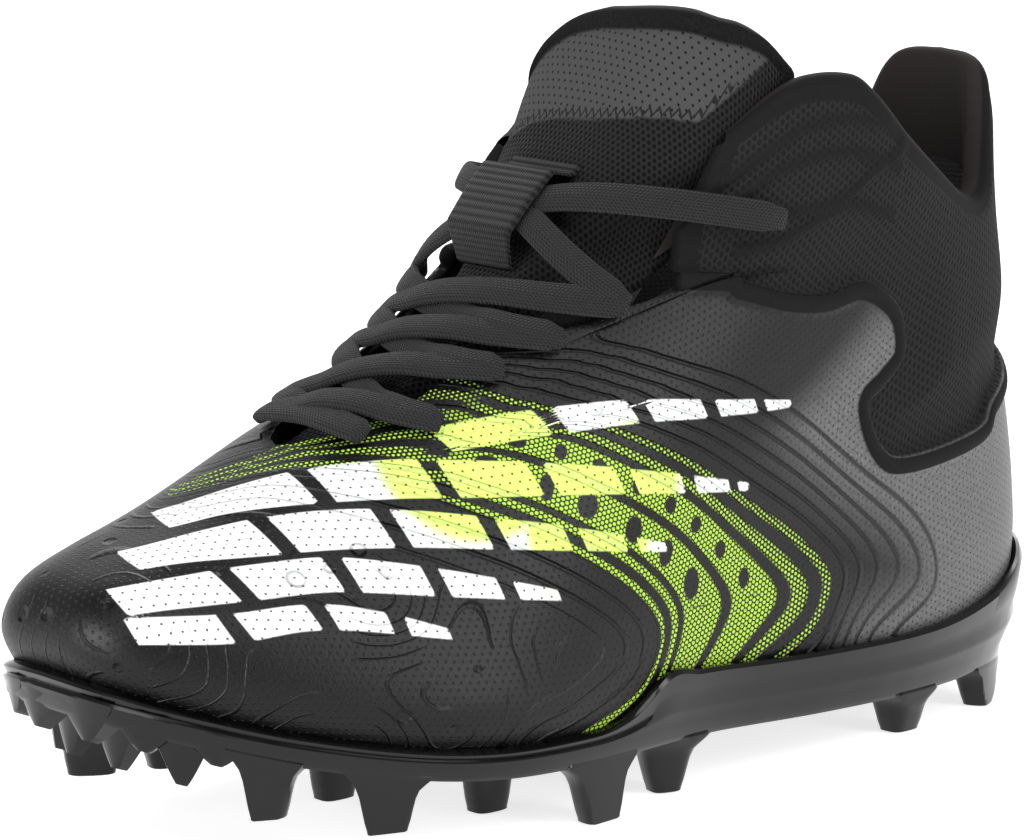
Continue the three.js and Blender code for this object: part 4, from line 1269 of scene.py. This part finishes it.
def build_loop():
    steps, across = 60, 24
    rows = np.array(LOOP, float)
    run = np.concatenate([[0], np.cumsum(np.hypot(np.diff(rows[:, 0]) * 15, np.diff(rows[:, 1])))])
    t = np.linspace(0, run[-1], steps)
    level, under, share = [np.interp(t, run, rows[:, c])[:, None] for c in range(3)]
    for _ in range(3):
        for bent in (level, under):
            bent[1:-1] = (bent[:-2] + 2 * bent[1:-1] + bent[2:]) / 4
    ten_degrees = np.linalg.norm(form_point(level, 180.0) - form_point(level, 170.0), axis=2)
    sweep = share * LOOP_WIDTH / 2 / (ten_degrees / 10)
    s = np.linspace(-1, 1, across)
    over = wrap(180 + s * sweep)
    outer, inner = [skin_point(level, over, under + lift) for lift in (LOOP_THICK, 0)]
    points, faces = joined([closed_loft(np.concatenate([outer, inner[:, ::-1]], 1))])
    piece = make_object("loop_strap", points, faces, MATERIAL["webbing"])
    x = np.concatenate([s, s[::-1]]) * LOOP_WIDTH / 2
    add_attribute(piece, "flat", np.stack(np.broadcast_arrays(x, t[:, None]), -1).reshape(-1, 2))
    return piece


MATERIAL = {
    "upper": upper_material(), "lining": lining_material(), "rubber": rubber_material(),
    "insole": insole_material(), "tongue": tongue_material(), "lace": lace_material(),
    "webbing": webbing_material(),
}

# Pieces
PIECES = [
    (build_upper, "upper", "upper"), (build_lining, None, "upper"), (build_outsole, "outsole", "outsole"),
    (build_insole, "insole", "insole"), (build_tongue, "tongue", "tongue"), (build_lace, "lace", "lace"),
    (build_loop, "lace_loop", "webbing"),
]
for build, node, slot in PIECES:
    piece = build()
    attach(piece, "root")
    if node:
        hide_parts(node)


# Studio
FLAT = math.cos(ELEVATION)
BACK = Vector((math.sin(AZIMUTH) * FLAT, -math.cos(AZIMUTH) * FLAT, math.sin(ELEVATION)))
RIGHT = Vector((math.cos(AZIMUTH), math.sin(AZIMUTH), 0))


def build_floor():
    """A pale sheet that rises in a curve behind the shoe."""
    n = Nodes("studio_floor")
    n.finish(grey(200), 0.9, specular=0.1)
    n.shader.inputs["Emission Color"].default_value = (1, 1, 1, 1)
    n.shader.inputs["Emission Strength"].default_value = 0.75
    size, far, rise, bend = 3.0, 2.2, 1.6, 0.5
    profile = [(-size, 0.0)]
    for k in range(9):
        turn = math.pi / 2 * k / 8
        profile.append((far - bend + bend * math.sin(turn), bend - bend * math.cos(turn)))
    profile.append((far, rise))
    away = Vector((-math.sin(AZIMUTH), math.cos(AZIMUTH), 0))
    points = []
    for along, up in profile:
        points += [away * along + RIGHT * side + Vector((0, 0, up - 0.0002)) for side in (-size, size)]
    mesh = bpy.data.meshes.new("studio_floor")
    faces = [(2 * k, 2 * k + 1, 2 * k + 3, 2 * k + 2) for k in range(len(profile) - 1)]
    mesh.from_pydata(points, [], faces)
    mesh.materials.append(n.material)
    for polygon in mesh.polygons:
        polygon.use_smooth = True
    add_to_scene("studio_floor", mesh)


def add_lamp(name, place, power, width, height):
    light = bpy.data.lights.new(name, "AREA")
    light.shape = "RECTANGLE"
    light.size, light.size_y = width, height
    light.energy = power
    lamp = add_to_scene(name, light)
    lamp.location = place
    lamp.rotation_euler = (LIT - Vector(place)).to_track_quat("-Z", "Y").to_euler()


def add_camera():
    data = bpy.data.cameras.new("photo_camera")
    data.sensor_fit = "HORIZONTAL"
    data.sensor_width = 36
    data.lens = 170.93
    data.clip_start, data.clip_end = 0.05, 20
    view = add_to_scene("photo_camera", data)
    up = BACK.cross(RIGHT)
    view.location = AIM + RIGHT * (-5.68 * MM) + up * (5.96 * MM) + BACK * 1.099
    view.rotation_euler = BACK.to_track_quat("Z", "Y").to_euler()
    bpy.context.scene.camera = view


def add_world():
    """White to the camera, dimmer as a light."""
    world = bpy.data.worlds.new("studio_air")
    world.use_nodes = True
    sky = world.node_tree
    air = sky.nodes["Background"]
    air.inputs["Color"].default_value = (1, 1, 1, 1)
    seen = sky.nodes.new("ShaderNodeLightPath")
    strength = sky.nodes.new("ShaderNodeMapRange")
    strength.inputs["To Max"].default_value = 1.0
    strength.inputs["To Min"].default_value = 0.4
    sky.links.new(seen.outputs["Is Camera Ray"], strength.inputs["Value"])
    sky.links.new(strength.outputs[0], air.inputs["Strength"])
    bpy.context.scene.world = world


build_floor()
add_camera()
add_world()
bpy.context.scene.view_settings.view_transform = "Standard"
add_lamp("key_light", (0.9, -0.6, 1.5), 19, 1.2, 1.2)
add_lamp("side_light", (1.4, 0.5, 0.6), 16, 0.5, 1.4)
add_lamp("toe_light", (-0.1, -1.6, 0.4), 25, 1.2, 0.6)
add_lamp("back_light", (-0.8, 0.9, 1.1), 12, 1.0, 0.8)
